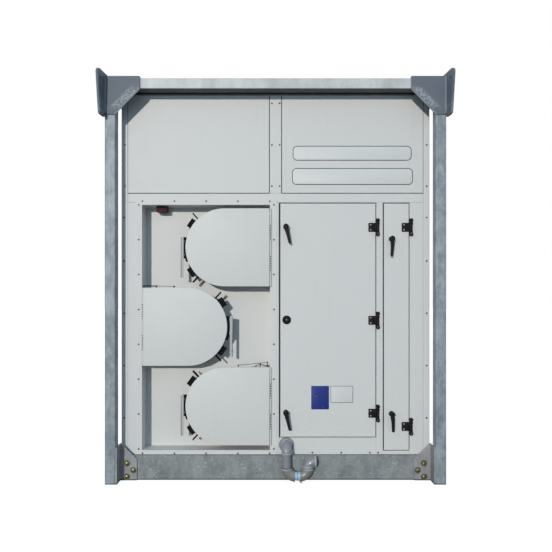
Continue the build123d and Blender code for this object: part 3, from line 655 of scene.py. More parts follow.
def circle(centre: Vector, way: Vector, radius: float, sides: int) -> list[Point]:
    """Points of a circle across a direction."""
    turn = way.to_track_quat("Z", "Y")
    return [
        tuple(centre + turn @ Vector((radius * math.cos(a), radius * math.sin(a), 0.0)))
        for a in (2 * math.pi * n / sides for n in range(sides))
    ]


def offset(outline: Outline, grow: float) -> Outline:
    """Moves an anticlockwise outline outwards by a distance, keeping its corners."""
    moved = []
    count = len(outline)
    for n, (x, z) in enumerate(outline):
        a = Vector(outline[n - 1])
        c = Vector(outline[(n + 1) % count])
        b = Vector((x, z))
        first = (b - a).normalized()
        second = (c - b).normalized()
        normal = Vector((first.y, -first.x)) + Vector((second.y, -second.x))
        reach = grow * 2 / max(normal.length_squared, 1e-9)
        moved.append((x + normal.x * reach, z + normal.y * reach))
    return moved


def rounded_box(x0: float, x1: float, z0: float, z1: float, radius: float, steps: int = 6) -> Outline:
    """A rectangle with round corners, anticlockwise."""
    outline = []
    for cx, cz, start in (
        (x1 - radius, z1 - radius, 0.0),
        (x0 + radius, z1 - radius, 90.0),
        (x0 + radius, z0 + radius, 180.0),
        (x1 - radius, z0 + radius, 270.0),
    ):
        for n in range(steps + 1):
            angle = math.radians(start + 90.0 * n / steps)
            outline.append((cx + radius * math.cos(angle), cz + radius * math.sin(angle)))
    return outline


class Tree:
    """A Geometry Nodes tree with named inputs, run once and turned into a plain mesh."""

    def __init__(self, name: str, inputs: dict[str, str]) -> None:
        """Starts a tree.

        Args:
            name: Its name.
            inputs: Socket types by input name.
        """
        self.group = bpy.data.node_groups.new(name, "GeometryNodeTree")
        face = self.group.interface
        face.new_socket("Geometry", in_out="INPUT", socket_type="NodeSocketGeometry")
        self.keys = {
            key: face.new_socket(key, in_out="INPUT", socket_type=kind).identifier
            for key, kind in inputs.items()
        }
        face.new_socket("Geometry", in_out="OUTPUT", socket_type="NodeSocketGeometry")
        self.source = self.group.nodes.new("NodeGroupInput")
        self.target = self.group.nodes.new("NodeGroupOutput")

    def node(
        self, kind: str, settings: dict[str, object], inputs: dict[str | int, object], out: str | int = 0
    ) -> bpy.types.NodeSocket:
        """Adds a node and returns one of its outputs."""
        made = self.group.nodes.new(kind)
        for key, value in settings.items():
            setattr(made, key, value)
        for key, value in inputs.items():
            if isinstance(value, bpy.types.NodeSocket):
                self.group.links.new(value, made.inputs[key])
            elif isinstance(value, list):
                for link in value:
                    self.group.links.new(link, made.inputs[key])
            else:
                made.inputs[key].default_value = value
        return made.outputs[out]

    def given(self, name: str) -> bpy.types.NodeSocket:
        """One of the tree's inputs."""
        return self.source.outputs[name]

    def times(self, first: object, second: object) -> bpy.types.NodeSocket:
        """Product of two numbers."""
        return self.node("ShaderNodeMath", {"operation": "MULTIPLY"}, {0: first, 1: second})

    def plus(self, first: object, second: object) -> bpy.types.NodeSocket:
        """Sum of two numbers."""
        return self.node("ShaderNodeMath", {"operation": "ADD"}, {0: first, 1: second})

    def lifted(self, geometry: bpy.types.NodeSocket, height: object) -> bpy.types.NodeSocket:
        """Geometry moved along Z."""
        move = self.node("ShaderNodeCombineXYZ", {}, {"Z": height})
        return self.node("GeometryNodeTransform", {}, {"Geometry": geometry, "Translation": move})

    def close(self, geometry: bpy.types.NodeSocket) -> None:
        """Links the tree's output."""
        self.group.links.new(geometry, self.target.inputs[0])

    def run(
        self, name: str, points: Sequence[Point], facings: Sequence[Point], values: dict[str, object]
    ) -> bpy.types.Object:
        """Runs the tree on a cloud of points.

        Args:
            name: Name of the piece.
            points: Where the instances stand.
            facings: The way each looks.
            values: The tree's named inputs.

        Returns:
            A plain mesh object.
        """
        mesh = bpy.data.meshes.new(name)
        mesh.from_pydata([tuple(p) for p in points], [], [])
        looks = mesh.attributes.new("facing", "FLOAT_VECTOR", "POINT")
        looks.data.foreach_set("vector", [c for f in facings for c in f])
        carrier = bpy.data.objects.new(name, mesh)
        bpy.context.scene.collection.objects.link(carrier)
        modifier = carrier.modifiers.new("build", "NODES")
        modifier.node_group = self.group
        for key, value in values.items():
            modifier[self.keys[key]] = value
        graph = bpy.context.evaluated_depsgraph_get()
        solid = bpy.data.meshes.new_from_object(carrier.evaluated_get(graph))
        carrier.modifiers.remove(modifier)
        bpy.data.objects.remove(carrier)
        smooth(solid, 35.0)
        return publish(solid, name, None)


def fastener_tree() -> Tree:
    """Screws and bolts: a washer, a domed head and a recess, one at every point."""
    tree = Tree(
        "fasteners",
        {
            "Head Radius": "NodeSocketFloat",
            "Head Height": "NodeSocketFloat",
            "Washer Radius": "NodeSocketFloat",
            "Washer Height": "NodeSocketFloat",
            "Recess Radius": "NodeSocketFloat",
            "Sides": "NodeSocketInt",
            "Head Finish": "NodeSocketMaterial",
            "Recess Finish": "NodeSocketMaterial",
        },
    )
    radius, height = tree.given("Head Radius"), tree.given("Head Height")
    sides = tree.given("Sides")

    def cone(low: object, high: object, depth: object, lift: object) -> bpy.types.NodeSocket:
        """One turned step of the head."""
        made = tree.node(
            "GeometryNodeMeshCone",
            {},
            {"Vertices": sides, "Radius Top": high, "Radius Bottom": low, "Depth": depth},
            "Mesh",
        )
        return tree.lifted(made, lift)

    washer = cone(
        tree.given("Washer Radius"),
        tree.times(tree.given("Washer Radius"), 0.94),
        tree.given("Washer Height"),
        0.0,
    )
    base = tree.given("Washer Height")
    skirt = cone(radius, tree.times(radius, 0.93), tree.times(height, 0.4), base)
    dome = cone(
        tree.times(radius, 0.93), tree.times(radius, 0.68), tree.times(height, 0.38),
        tree.plus(base, tree.times(height, 0.4)),
    )
    crown = cone(
        tree.times(radius, 0.68), tree.times(radius, 0.3), tree.times(height, 0.2),
        tree.plus(base, tree.times(height, 0.78)),
    )
    recess = tree.node(
        "GeometryNodeMeshCylinder",
        {},
        {"Vertices": 6, "Radius": tree.given("Recess Radius"), "Depth": tree.times(height, 0.1)},
        "Mesh",
    )
    recess = tree.node(
        "GeometryNodeStoreNamedAttribute",
        {"data_type": "BOOLEAN", "domain": "FACE"},
        {"Geometry": tree.lifted(recess, tree.plus(base, height)), "Name": "recess", "Value": True},
    )
    head = tree.node(
        "GeometryNodeJoinGeometry", {}, {"Geometry": [washer, skirt, dome, crown, recess]}
    )
    looks = tree.node(
        "GeometryNodeInputNamedAttribute", {"data_type": "FLOAT_VECTOR"}, {"Name": "facing"}
    )
    turn = tree.node("FunctionNodeAlignRotationToVector", {"axis": "Z"}, {"Vector": looks})
    placed = tree.node(
        "GeometryNodeInstanceOnPoints",
        {},
        {"Points": tree.given("Geometry"), "Instance": head, "Rotation": turn},
    )
    spin = tree.node(
        "FunctionNodeRandomValue",
        {"data_type": "FLOAT_VECTOR"},
        {"Min": (0.0, 0.0, 0.0), "Max": (0.0, 0.0, 6.283), "Seed": 7},
    )
    placed = tree.node(
        "GeometryNodeRotateInstances", {}, {"Instances": placed, "Rotation": spin, "Local Space": True}
    )
    real = tree.node("GeometryNodeRealizeInstances", {}, {"Geometry": placed})
    dressed = tree.node(
        "GeometryNodeSetMaterial", {}, {"Geometry": real, "Material": tree.given("Head Finish")}
    )
    is_recess = tree.node("GeometryNodeInputNamedAttribute", {"data_type": "BOOLEAN"}, {"Name": "recess"})
    tree.close(
        tree.node(
            "GeometryNodeSetMaterial",
            {},
            {"Geometry": dressed, "Selection": is_recess, "Material": tree.given("Recess Finish")},
        )
    )
    return tree


def knuckle_tree() -> Tree:
    """Knuckles of a long hinge: one rolled barrel and its tab at every point."""
    tree = Tree(
        "knuckles",
        {
            "Radius": "NodeSocketFloat",
            "Length": "NodeSocketFloat",
            "Tab": "NodeSocketVector",
            "Tab Place": "NodeSocketVector",
            "Finish": "NodeSocketMaterial",
        },
    )
    barrel = tree.node(
        "GeometryNodeMeshCylinder",
        {},
        {"Vertices": 12, "Radius": tree.given("Radius"), "Depth": tree.given("Length")},
        "Mesh",
    )
    tab = tree.node("GeometryNodeMeshCube", {}, {"Size": tree.given("Tab")}, "Mesh")
    tab = tree.node(
        "GeometryNodeTransform", {}, {"Geometry": tab, "Translation": tree.given("Tab Place")}
    )
    both = tree.node("GeometryNodeJoinGeometry", {}, {"Geometry": [barrel, tab]})
    placed = tree.node(
        "GeometryNodeInstanceOnPoints", {}, {"Points": tree.given("Geometry"), "Instance": both}
    )
    real = tree.node("GeometryNodeRealizeInstances", {}, {"Geometry": placed})
    tree.close(
        tree.node("GeometryNodeSetMaterial", {}, {"Geometry": real, "Material": tree.given("Finish")})
    )
    return tree


@dataclass
class Fasteners:
    """Rows of screws and bolts, one mesh for each body and kind."""

    finishes: Finishes
    tree: Tree = field(default_factory=fastener_tree)
    house_rows: tuple[float, ...] = (1.680, 1.917, 2.155)
    bezel_columns: tuple[float, float] = (-0.785, -0.009)
    bezel_rows: tuple[float, float] = (0.1465, 1.593)

    def make(
        self, name: str, body: str, spots: Sequence[tuple[Point, Point]], head: float, rise: float,
        washer: float, thick: float, recess: float, finish: bpy.types.Material, sides: int = 14,
    ) -> None:
        """Builds one set.

        Args:
            name: Name of the piece.
            body: Body that carries it.
            spots: Pairs of place and facing.
            head: Radius of the head.
            rise: Height of the head.
            washer: Radius of the washer.
            thick: Thickness of the washer.
            recess: Radius of the recess.
            finish: Finish of the head.
            sides: Sides of the round parts.
        """
        piece = self.tree.run(
            name,
            [spot for spot, _ in spots],
            [look for _, look in spots],
            {
                "Head Radius": head, "Head Height": rise, "Washer Radius": washer,
                "Washer Height": thick, "Recess Radius": recess, "Sides": sides,
                "Head Finish": finish, "Recess Finish": self.finishes.recess,
            },
        )
        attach(piece, body)
        LOG.info("%s: %d fasteners on %s", name, len(spots), body)

    def screws(self, name: str, body: str, spots: Sequence[tuple[Point, Point]], size: float = 1.0) -> None:
        """Small panel screws of one size."""
        self.make(
            name, body, spots, 0.0042 * size, 0.0022 * size, 0.0056 * size, 0.0007 * size,
            0.0017 * size, self.finishes.screw,
        )

    def bezel(self) -> None:
        """Screws round the folded edge of the duct bay."""
        y = FACE - 0.002
        front = Facing.FRONT.value
        low, high = self.bezel_rows
        spots = [((x, y, 0.172 + 0.2 * n), front) for x in self.bezel_columns for n in range(8)]
        spots += [((x, y, z), front) for z in (low, high) for x in (-0.7635, -0.580, -0.398, -0.216, -0.033)]
        self.screws("bezel_screws", "unit", spots)

    def wall(self) -> None:
        """Screws along the profiles, mullions, transoms and the roof."""
        front, rear = Facing.FRONT.value, Facing.REAR.value
        spots = []
        for z in self.house_rows:
            for x in (-0.863, -0.021, 0.024, 0.868):
                spots += [((x, FACE, z), front), ((-x, -FACE, z), rear)]
        for x in (0.212, 0.377, 0.542, 0.590):
            spots.append(((x, FACE, 0.150), front))
        for z in (0.35, 0.65, 0.95, 1.25, 1.50):
            spots += [((0.868, FACE, z), front), ((-0.868, FACE, z), front)]
            spots += [((x, -FACE, z), rear) for x in (-0.868, -0.021, 0.024, 0.868)]
        for side, look in ((1, Facing.RIGHT.value), (-1, Facing.LEFT.value)):
            for z in (0.20, 0.50, 0.80, 1.10, 1.40, *self.house_rows):
                spots += [((side * 0.885, y, z), look) for y in (-0.480, 0.480)]
            spots += [((side * 0.885, -0.36 + 0.24 * n, 1.612), look) for n in range(4)]
        for x in (-0.7, -0.42, -0.14, 0.14, 0.42, 0.7):
            spots.append(((x, -FACE, 1.612), rear))
        self.screws("wall_screws", "unit", spots)
        roof = [((-0.84 + 0.28 * n, y, 2.24), Facing.UP.value) for n in range(7) for y in (-0.47, 0.47)]
        self.screws("roof_screws", "unit", roof)

    def louvre(self) -> None:
        """Screws through the flange of the rear louvre."""
        y = -FACE + 0.002
        middle_x, middle_z = -0.442, 0.8625
        spots = []
        for n in range(5):
            spots += [
                ((middle_x - 0.30 + 0.15 * n, y, middle_z + side * 0.596), Facing.REAR.value)
                for side in (-1, 1)
            ]
        for n in range(7):
            spots += [
                ((middle_x + side * 0.326, y, middle_z - 0.48 + 0.16 * n), Facing.REAR.value)
                for side in (-1, 1)
            ]
        self.screws("louvre_screws", "unit", spots)

    def gussets(self) -> None:
        """Three domed bolts through each face of the corner gussets."""
        spots = []
        for sx in (-1, 1):
            for sy, look in ((-1, Facing.FRONT.value), (1, Facing.REAR.value)):
                for x, z in ((0.845, 0.097), (0.809, 0.058), (0.845, 0.021)):
                    spots.append(((sx * x, sy * 0.528, z), look))
            way = Facing.RIGHT.value if sx > 0 else Facing.LEFT.value
            for sy in (-1, 1):
                for y, z in ((0.480, 0.097), (0.437, 0.058), (0.480, 0.021)):
                    spots.append(((sx * 0.890, sy * y, z), way))
        self.make(
            "gusset_bolts", "unit", spots, 0.0135, 0.0085, 0.0185, 0.0025, 0.003,
            self.finishes.yellow, 20,
        )

    def hinges(self) -> None:
        """Two screws in every door leaf."""
        for body, leaf_x, levels in (
            ("large_door", 0.5455, (0.3765, 0.90975, 1.443)),
            ("narrow_door", 0.7365, (0.3005, 1.443)),
        ):
            spots = [
                ((leaf_x, FACE - 0.005, z + side * 0.0145), Facing.FRONT.value)
                for z in levels
                for side in (-1, 1)
            ]
            self.make(
                body + "_hinge_screws", body, spots, 0.0040, 0.0014, 0.0043, 0.0004, 0.0018,
                self.finishes.lever,
            )


@dataclass
class TrayCover:
    """A D-shaped tray with a rounded rim, on its long toothed hinge."""

    finishes: Finishes
    knuckles: Tree
    name: str
    edge_x: float
    way: int
    middle_z: float
    radius: float = 0.223
    stem: float = 0.257
    front: float = FACE - 0.020
    rim: float = FACE - 0.003
    sheet: float = 0.002
    pivot: float = 0.006
    pivot_y: float = FACE - 0.008
    pitch: float = 0.0136

    def outline(self, grow: float, steps: int = 56) -> Outline:
        """The D, anticlockwise from the front."""
        half = self.radius + grow
        points = [(-grow, half), (-grow, -half)]
        for n in range(steps + 1):
            angle = -math.pi / 2 + math.pi * n / steps
            points.append((self.stem + half * math.cos(angle), half * math.sin(angle)))
        if self.way < 0:
            points = [(-x, z) for x, z in reversed(points)]
        return [(self.edge_x + x, self.middle_z + z) for x, z in points]

    def build(self) -> None:
        """Makes the tray and its two rows of hinge teeth."""
        tray = Shape()
        edge = 0.0022
        rings = [[(x, self.front + self.sheet, z) for x, z in self.outline(-self.sheet)]]
        for depth, grow in ((0.003, -self.sheet), (0.0, -self.sheet + 0.0004), (0.0, -0.0004), (0.0004, 0.0)):
            rings.append([(x, self.rim - depth, z) for x, z in self.outline(grow)])
        for n in range(5):
            angle = math.pi / 2 * n / 4
            grow = -edge * (1 - math.cos(angle))
            y = self.front + edge * (1 - math.sin(angle))
            rings.append([(x, y, z) for x, z in self.outline(grow)])
        tray.loops(rings)
        piece = tray.done(self.name + "_tray", self.finishes.bay, 30.0)
        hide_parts(self.name)
        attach(piece, self.name)
        self.teeth()
        LOG.info("%s: tray and hinge", self.name)

    def teeth(self) -> None:
        """The hinge's barrels: the fixed row on the unit, in dark zinc that paints the shade of the gaps between the
        teeth, and the moving row on the cover.
        """
        half = self.radius
        count = int(2 * half / self.pitch)
        start = self.middle_z - count * self.pitch / 2
        x = self.edge_x - self.way * self.pivot
        for body, shift, tab_x, tab_y, finish in (
            ("unit", 0.25, -self.way * 0.0030, 0.0030, self.finishes.dark_zinc_and_painted_shade),
            (self.name, 0.75, self.way * 0.0028, -0.0026, self.finishes.bay),
        ):
            points = [(x, self.pivot_y, start + (n + shift) * self.pitch) for n in range(count)]
            piece = self.knuckles.run(
                f"{self.name}_{'fixed' if body == 'unit' else 'moving'}_teeth",
                points,
                [Facing.UP.value] * count,
                {
                    "Radius": 0.0029,
                    "Length": self.pitch * 0.44,
                    "Tab": (0.0056, 0.0014, self.pitch * 0.44),
                    "Tab Place": (tab_x, tab_y, 0.0),
                    "Finish": finish,
                },
            )
            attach(piece, body)


@dataclass
class SwingHandle:
    """A tapering lever on a round boss, its edges rolled."""

    finishes: Finishes
    name: str
    body: str
    centre: tuple[float, float]
    tilt: float
    boss: float = 0.0155
    crank: float = 0.0
    tip: float = 0.0070
    length: float = 0.094
    stand: float = 0.024
    thick: float = 0.014

    def build(self) -> None:
        """Makes the boss, its collar and the lever."""
        cx, cz = self.centre
        shape = Shape()
        start = FACE - 0.0003
        shape.lathe(
            (cx, start, cz), (0, -1, 0),
            [(0, self.boss), (0.002, self.boss), (0.003, self.boss * 0.86), (self.stand, self.boss * 0.86)],
        )
        outline = self.lever(32)
        back = FACE - self.stand
        front = back - self.thick
        rings = [[(x, back, z) for x, z in offset(outline, -0.0015)], [(x, back - 0.0015, z) for x, z in outline]]
        for n in range(6):
            angle = math.pi / 2 * n / 5
            grow = -0.0048 * (1 - math.cos(angle))
            y = front + 0.0055 * (1 - math.sin(angle))
            rings.append([(x, y, z) for x, z in offset(outline, grow)])
        shape.loops(rings)
        shape.lathe(
            (cx, front, cz), (0, -1, 0), [(-0.001, 0.0065), (0.0003, 0.0065), (0.0008, 0.0058), (0.0008, 0.003)], 20
        )
        piece = shape.done(self.name + "_lever", self.finishes.black, 35.0)
        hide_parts(self.name)
        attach(piece, self.name)

    def lever(self, steps: int) -> Outline:
        """Outline of the lever, hanging at its tilt: a boss, a waist and a narrow bar."""
        reach, shift = self.length, self.crank
        points = []
        for n in range(steps + 1):
            angle = math.radians(-50.0 + 280.0 * n / steps)
            points.append((self.boss * math.cos(angle), self.boss * math.sin(angle)))
        sides = ((0.0116, 0.3, 0.018), (0.0100, 0.65, 0.032), (0.0086, 1.0, 0.052))
        points += [(shift * share - half, -depth) for half, share, depth in sides]
        for n in range(steps // 2 + 1):
            angle = math.pi + math.pi * n / (steps // 2)
            points.append((shift + self.tip * math.cos(angle), -reach + self.tip * math.sin(angle)))
        points += [(shift * share + half, -depth) for half, share, depth in reversed(sides)]
        turn = math.radians(self.tilt)
        cx, cz = self.centre
        return [
            (cx + x * math.cos(turn) - z * math.sin(turn), cz + x * math.sin(turn) + z * math.cos(turn))
            for x, z in points
        ]


@dataclass
class BlankPlates:
    """Blank plates on the front: no lettering, no signs."""

    finishes: Finishes

    def plate(
        self, name: str, body: str, box: tuple[float, float, float, float], corner: float,
        finish: Printed, thick: float = 0.0008,
    ) -> None:
        """One thin plate on the front wall."""
        shape = Shape()
        shape.slab(rounded_box(*box, corner), FACE - thick, FACE, thick * 0.5, 2)
        piece = shape.done(name, finish.build(), 30.0)
        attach(piece, body)
        LOG.info("%s on %s", name, body)

    def build(self) -> None:
        """Makes the four plates."""
        white, dark = (0.66, 0.67, 0.66), (0.025, 0.03, 0.045)
        for name, box in (
            ("upper_blank_plate", (0.099, 0.781, 1.826, 1.911)),
            ("lower_blank_plate", (0.095, 0.789, 1.687, 1.783)),
        ):
            self.plate(name, "unit", box, 0.026, self.printed(name, box, white, dark, 0.026, 0.0022, 0.0042))
        box = (0.205, 0.307, 0.398, 0.533)
        self.plate("blue_blank_plate", "large_door", box, 0.004,
                   self.printed("blue_blank", box, (0.007, 0.022, 0.19), (0.02, 0.05, 0.27), 0.004, 0.006, 0.001))
        box = (0.316, 0.445, 0.436, 0.533)
        self.plate("white_blank_plate", "large_door", box, 0.003,
                   self.printed("white_blank", box, (0.625, 0.628, 0.62), (0.07, 0.075, 0.09), 0.003, 0.0014, 0.0026))

    def printed(
        self, name: str, box: tuple[float, float, float, float], field_colour: Point, line: Point,
        corner: float, inset: float, width: float,
    ) -> Printed:
        """The print of one plate."""
        x0, x1, z0, z1 = box
        return Printed(
            name + "_print", field_colour, line, ((x0 + x1) / 2, (z0 + z1) / 2),
            ((x1 - x0) / 2, (z1 - z0) / 2), corner, inset, width,
        )


@dataclass
class Seams:
    """Dark sealing strips in the grooves between panels, and a dark strip under the roof's front edge that paints the
    shade below the beam.
    """

    finishes: Finishes
    half: float = 0.0026
    depth: float = 0.0002

    def front(self, shape: Shape, x0: float, x1: float, z0: float, z1: float, side: int) -> None:
        """A strip in a groove of the front wall, or of the rear wall where side is 1."""
        near = FACE + self.depth
        low, high = (near, near + 0.001) if side < 0 else (-near - 0.001, -near)
        if x0 == x1:
            shape.block((x0 - self.half, low, z0), (x1 + self.half, high, z1))
        else:
            shape.block((x0, low, z0 - self.half), (x1, high, z0 + self.half))

    def build(self) -> None:
        """Makes the strips of all walls."""
        shape = Shape()
        bottom, top, low, high = 0.140, 2.200, 1.585, 1.639
        for side in (-1, 1):
            for x in (-0.849, -0.035, 0.035, 0.849):
                self.front(shape, x, x, high, top, side)
            self.front(shape, -0.885, 0.885, top, top, side)
            self.front(shape, -0.849, -0.035, high, high, side)
            self.front(shape, 0.035, 0.849, high, high, side)
        for x in (-0.849, -0.035, 0.035, 0.849):
            self.front(shape, x, x, bottom, low, 1)
        self.front(shape, -0.849, 0.849, low, low, 1)
        near = 0.885 - self.depth
        for side in (-1, 1):
            a, b = sorted((side * near, side * (near - 0.001)))
            for y in (-0.464, 0.464):
                shape.block((a, y - self.half, bottom), (b, y + self.half, top))
            for z in (low, high, top):
                shape.block((a, -0.464, z - self.half), (b, 0.464, z + self.half))
        piece = shape.done("seam_strips", self.finishes.seal)
        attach(piece, "unit")
        # Painted shade: a dark strip along the roof's front edge that stands in for the deep shade in the gap under
        # the beam.
        strip = Shape()
        strip.block((-0.884, FACE - 0.003, 2.204), (0.884, FACE + 0.0005, 2.226), 0.001)
        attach(strip.done("weather_strip", self.finishes.seal), "unit")
        LOG.info("seam strips and weather strip")


@dataclass
class Welds:
    """Weld beads that hold the ears to the corner plates and the plates to the cage."""

    finishes: Finishes

    def bead(self, shape: Shape, start: Point, end: Point, radius: float) -> None:
        """A rippled bead between two points."""
        length = (Vector(end) - Vector(start)).length
        count = max(4, int(length / 0.004))
        points, sizes = [], []
        for n in range(count + 1):
            points.append(tuple(Vector(start).lerp(Vector(end), n / count)))
            sizes.append(radius * (0.82 + 0.18 * (n % 2)) * (0.5 if n in (0, count) else 1.0))
        way = Vector(end) - Vector(start)
        shape.loops([circle(Vector(p), way, r, 8) for p, r in zip(points, sizes)])

    def build(self) -> None:
        """Makes the beads of all four corners."""
        shape = Shape()
        for sx in (-1, 1):
            for sy in (-1, 1):
                front = sy * 0.6085
                self.bead(shape, (sx * 0.9445, front, 2.060), (sx * 0.9445, front, 2.266), 0.0036)
                self.bead(shape, (sx * 0.9445, sy * 0.605, 2.2685), (sx * 0.9445, sy * 0.550, 2.2685), 0.003)
                self.bead(shape, (sx * 0.889, sy * 0.6025, 2.0578), (sx * 0.944, sy * 0.6025, 2.0578), 0.003)
                self.bead(shape, (sx * 0.7535, sy * 0.6022, 2.203), (sx * 0.7535, sy * 0.6022, 2.262), 0.003)
                self.bead(shape, (sx * 0.953, sy * 0.405, 2.203), (sx * 0.953, sy * 0.405, 2.262), 0.003)
        piece = shape.done("corner_welds", self.finishes.weld, 60.0)
        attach(piece, "unit")
        LOG.info("corner welds")


@dataclass
class DoorHinges:
    """Lift-off hinges: a leaf with its barrel on the door, two lobes on the stile."""

    finishes: Finishes
    name: str
    pivot_x: float
    levels: tuple[float, ...]
    pivot_y: float = FACE - 0.012
    half: float = 0.0255
    leaf_end: float = 0.0514

    def leaves(self) -> None:
        """Makes the moving halves of one door."""
        shape = Shape()
        for z in self.levels:
            left, right = self.pivot_x - self.leaf_end, self.pivot_x - 0.0104
            low, high = z - self.half, z + self.half
            shape.slab(rounded_box(left, right, low, high, 0.004, 4), FACE - 0.005, FACE, 0.0012)
            shape.block(
                (right - 0.004, self.pivot_y, low + 0.0004), (self.pivot_x, FACE - 0.0006, high - 0.0004), 0.0008
            )
            shape.lathe(
                (self.pivot_x, self.pivot_y, low), (0, 0, 1),
                [
                    (0.0, 0.0092), (0.0008, 0.0100), (0.0055, 0.0100), (0.0068, 0.0088), (0.0435, 0.0088),
                    (0.0445, 0.0112), (0.0502, 0.0112), (0.051, 0.0104),
                ],
                28,
            )
        node = self.name + "_hinge_leaves"
        piece = shape.done(self.name + "_leaves", self.finishes.black, 35.0)
        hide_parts(node)
        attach(piece, self.name)

    def lobes(self, shape: Shape, bright: Shape) -> None:
        """Adds the fixed halves of one door's hinges."""
        x = self.pivot_x
        for z in self.levels:
            disc = [
                (x + 0.0115 * math.cos(a), z - 0.0378 + 0.0115 * math.sin(a))
                for a in (2 * math.pi * n / 28 for n in range(28))
            ]
            shape.slab(disc, FACE - 0.0232, FACE, 0.0045)
            cap = rounded_box(x - 0.0105, x + 0.0105, z + 0.0345, z + 0.0492, 0.004, 4)
            shape.slab(cap, FACE - 0.0225, FACE, 0.0040)
            for low, high in ((z - 0.0300, z - 0.0261), (z + 0.0261, z + 0.0360)):
                shape.lathe((x, self.pivot_y, low), (0, 0, 1), [(0.0, 0.0085), (high - low, 0.0085)], 24)
                shape.block((x - 0.006, self.pivot_y, low), (x + 0.008, FACE, high))
            bright.lathe(
                (x, FACE - 0.0228, z - 0.0378), (0, -1, 0), [(0, 0.0036), (0.0007, 0.0036), (0.0011, 0.0028)], 18
            )


@dataclass
class RoundLock:
    """A round turn lock with a grooved face and a square key socket in its plug."""

    finishes: Finishes
    centre: tuple[float, float] = (0.064, 0.91225)

    def build(self) -> None:
        """Makes the lock's face and plug."""
        x, z = self.centre
        shape = Shape()
        shape.lathe(
            (x, FACE, z), (0, -1, 0),
            [
                (0.0, 0.025), (0.0045, 0.025), (0.0062, 0.0240), (0.007, 0.0222), (0.0070, 0.0198),
                (0.0058, 0.0190), (0.0058, 0.0168), (0.0070, 0.0160), (0.0070, 0.0112), (0.0056, 0.0104),
                (0.0056, 0.0090), (0.0112, 0.0090), (0.012, 0.0080), (0.012, 0.0052), (0.0095, 0.0046),
            ],
            48,
        )
        piece = shape.done("round_lock", self.finishes.black, 30.0)
        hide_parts("large_door_lock")
        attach(piece, "large_door")
        key = Shape()
        key.block((x - 0.0024, FACE - 0.0108, z - 0.0024), (x + 0.0024, FACE - 0.0090, z + 0.0024), 0.0003)
        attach(key.done("lock_square", self.finishes.zinc), "large_door")


@dataclass
class ClampDetails:
    """Cams, bolts, dark lips and sealant beads on the quick-release rings, and a black arc band between the cams that
    paints the shade in the gap between lever and cover.
    """

    finishes: Finishes
    centres: tuple[tuple[float, float, int], ...] = (
        (-0.291, 1.3265, -1),
        (-0.499, 0.873, 1),
        (-0.291, 0.4195, -1),
    )
    start: float = FACE + 0.003

    def brick(
        self, shape: Shape, middle: Vector, out: Vector, along: Vector, half_out: float, half_along: float,
        depth: float,
    ) -> None:
        """A bevelled brick that stands across the ring's rim."""
        rings = []
        for y, shrink in ((0.0, 0.0012), (0.0012, 0.0), (depth, 0.0)):
            a, b = half_out - shrink, half_along - shrink
            corner_points = [middle + out * (sx * a) + along * (sz * b) for sx, sz in ((1, 1), (-1, 1), (-1, -1), (1, -1))]
            rings.append([(p.x, p.y + y, p.z) for p in corner_points])
        shape.loops(rings)

    def build(self) -> None:
        """Makes the cams, bright bolts, lips, the painted-shade band and sealing beads."""
        bright, dark, beads, lips = Shape(), Shape(), Shape(), Shape()
        for x, z, way in self.centres:
            centre = Vector((x, self.start, z))
            for side in (-1, 1):
                angle = math.radians(side * 36.0)
                out = Vector((way * math.cos(angle), 0.0, math.sin(angle)))
                along = Vector((-way * math.sin(angle), 0.0, math.cos(angle)))
                self.brick(dark, centre + out * 0.2300 + Vector((0, 0.0035, 0)), out, along, 0.0155, 0.0208, 0.017)
                self.brick(dark, centre + out * 0.2300 + Vector((0, 0.0005, 0)), out, along, 0.0070, 0.0130, 0.010)
                middle = centre + Vector((0, 0.012, 0)) + out * 0.2300
                bright.tube([tuple(middle + along * d) for d in (-0.034, -0.033, 0.033, 0.034)], 0.0024, 10)
                for end in (-0.031, 0.029):
                    bright.lathe(
                        tuple(middle + along * end), tuple(along),
                        [(0, 0.0046), (0.0005, 0.0052), (0.0035, 0.0052), (0.004, 0.0046)], 6,
                    )
            edge = x + way * 0.2510
            lips.block(
                (edge - 0.0017, self.start - 0.0050, z - 0.1715), (edge + 0.0017, self.start - 0.0005, z + 0.0605), 0.0006
            )
            # Painted shade: a black arc band between the two cams, put where the gap between lever and cover lies in
            # shade.
            rings = []
            for n in range(17):
                turn = math.radians(-20.0 + 2.0 * n)
                out = Vector((way * math.cos(turn), 0.0, math.sin(turn)))
                rings.append(
                    [
                        tuple(centre + out * r + Vector((0, y, 0)))
                        for r, y in ((0.2150, 0.002), (0.2355, 0.002), (0.2370, 0.0035), (0.2370, 0.020), (0.2150, 0.020))
                    ]
                )
            dark.loops(rings)
            beads.ring(
                (x, FACE + 0.100, z), (0, -1, 0),
                [(0.0, 0.2002), (0.004, 0.2003), (0.0028, 0.2032), (0.0, 0.2045)], 96,
            )
        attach(bright.done("clamp_bolts", self.finishes.zinc), "unit")
        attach(dark.done("clamp_cams", self.finishes.clamp), "unit")
        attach(lips.done("lever_lips", self.finishes.dark_zinc_and_painted_shade), "unit")
        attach(beads.done("collar_sealant", self.finishes.seal), "unit")
        LOG.info("clamp cams, bolts and collar sealant")


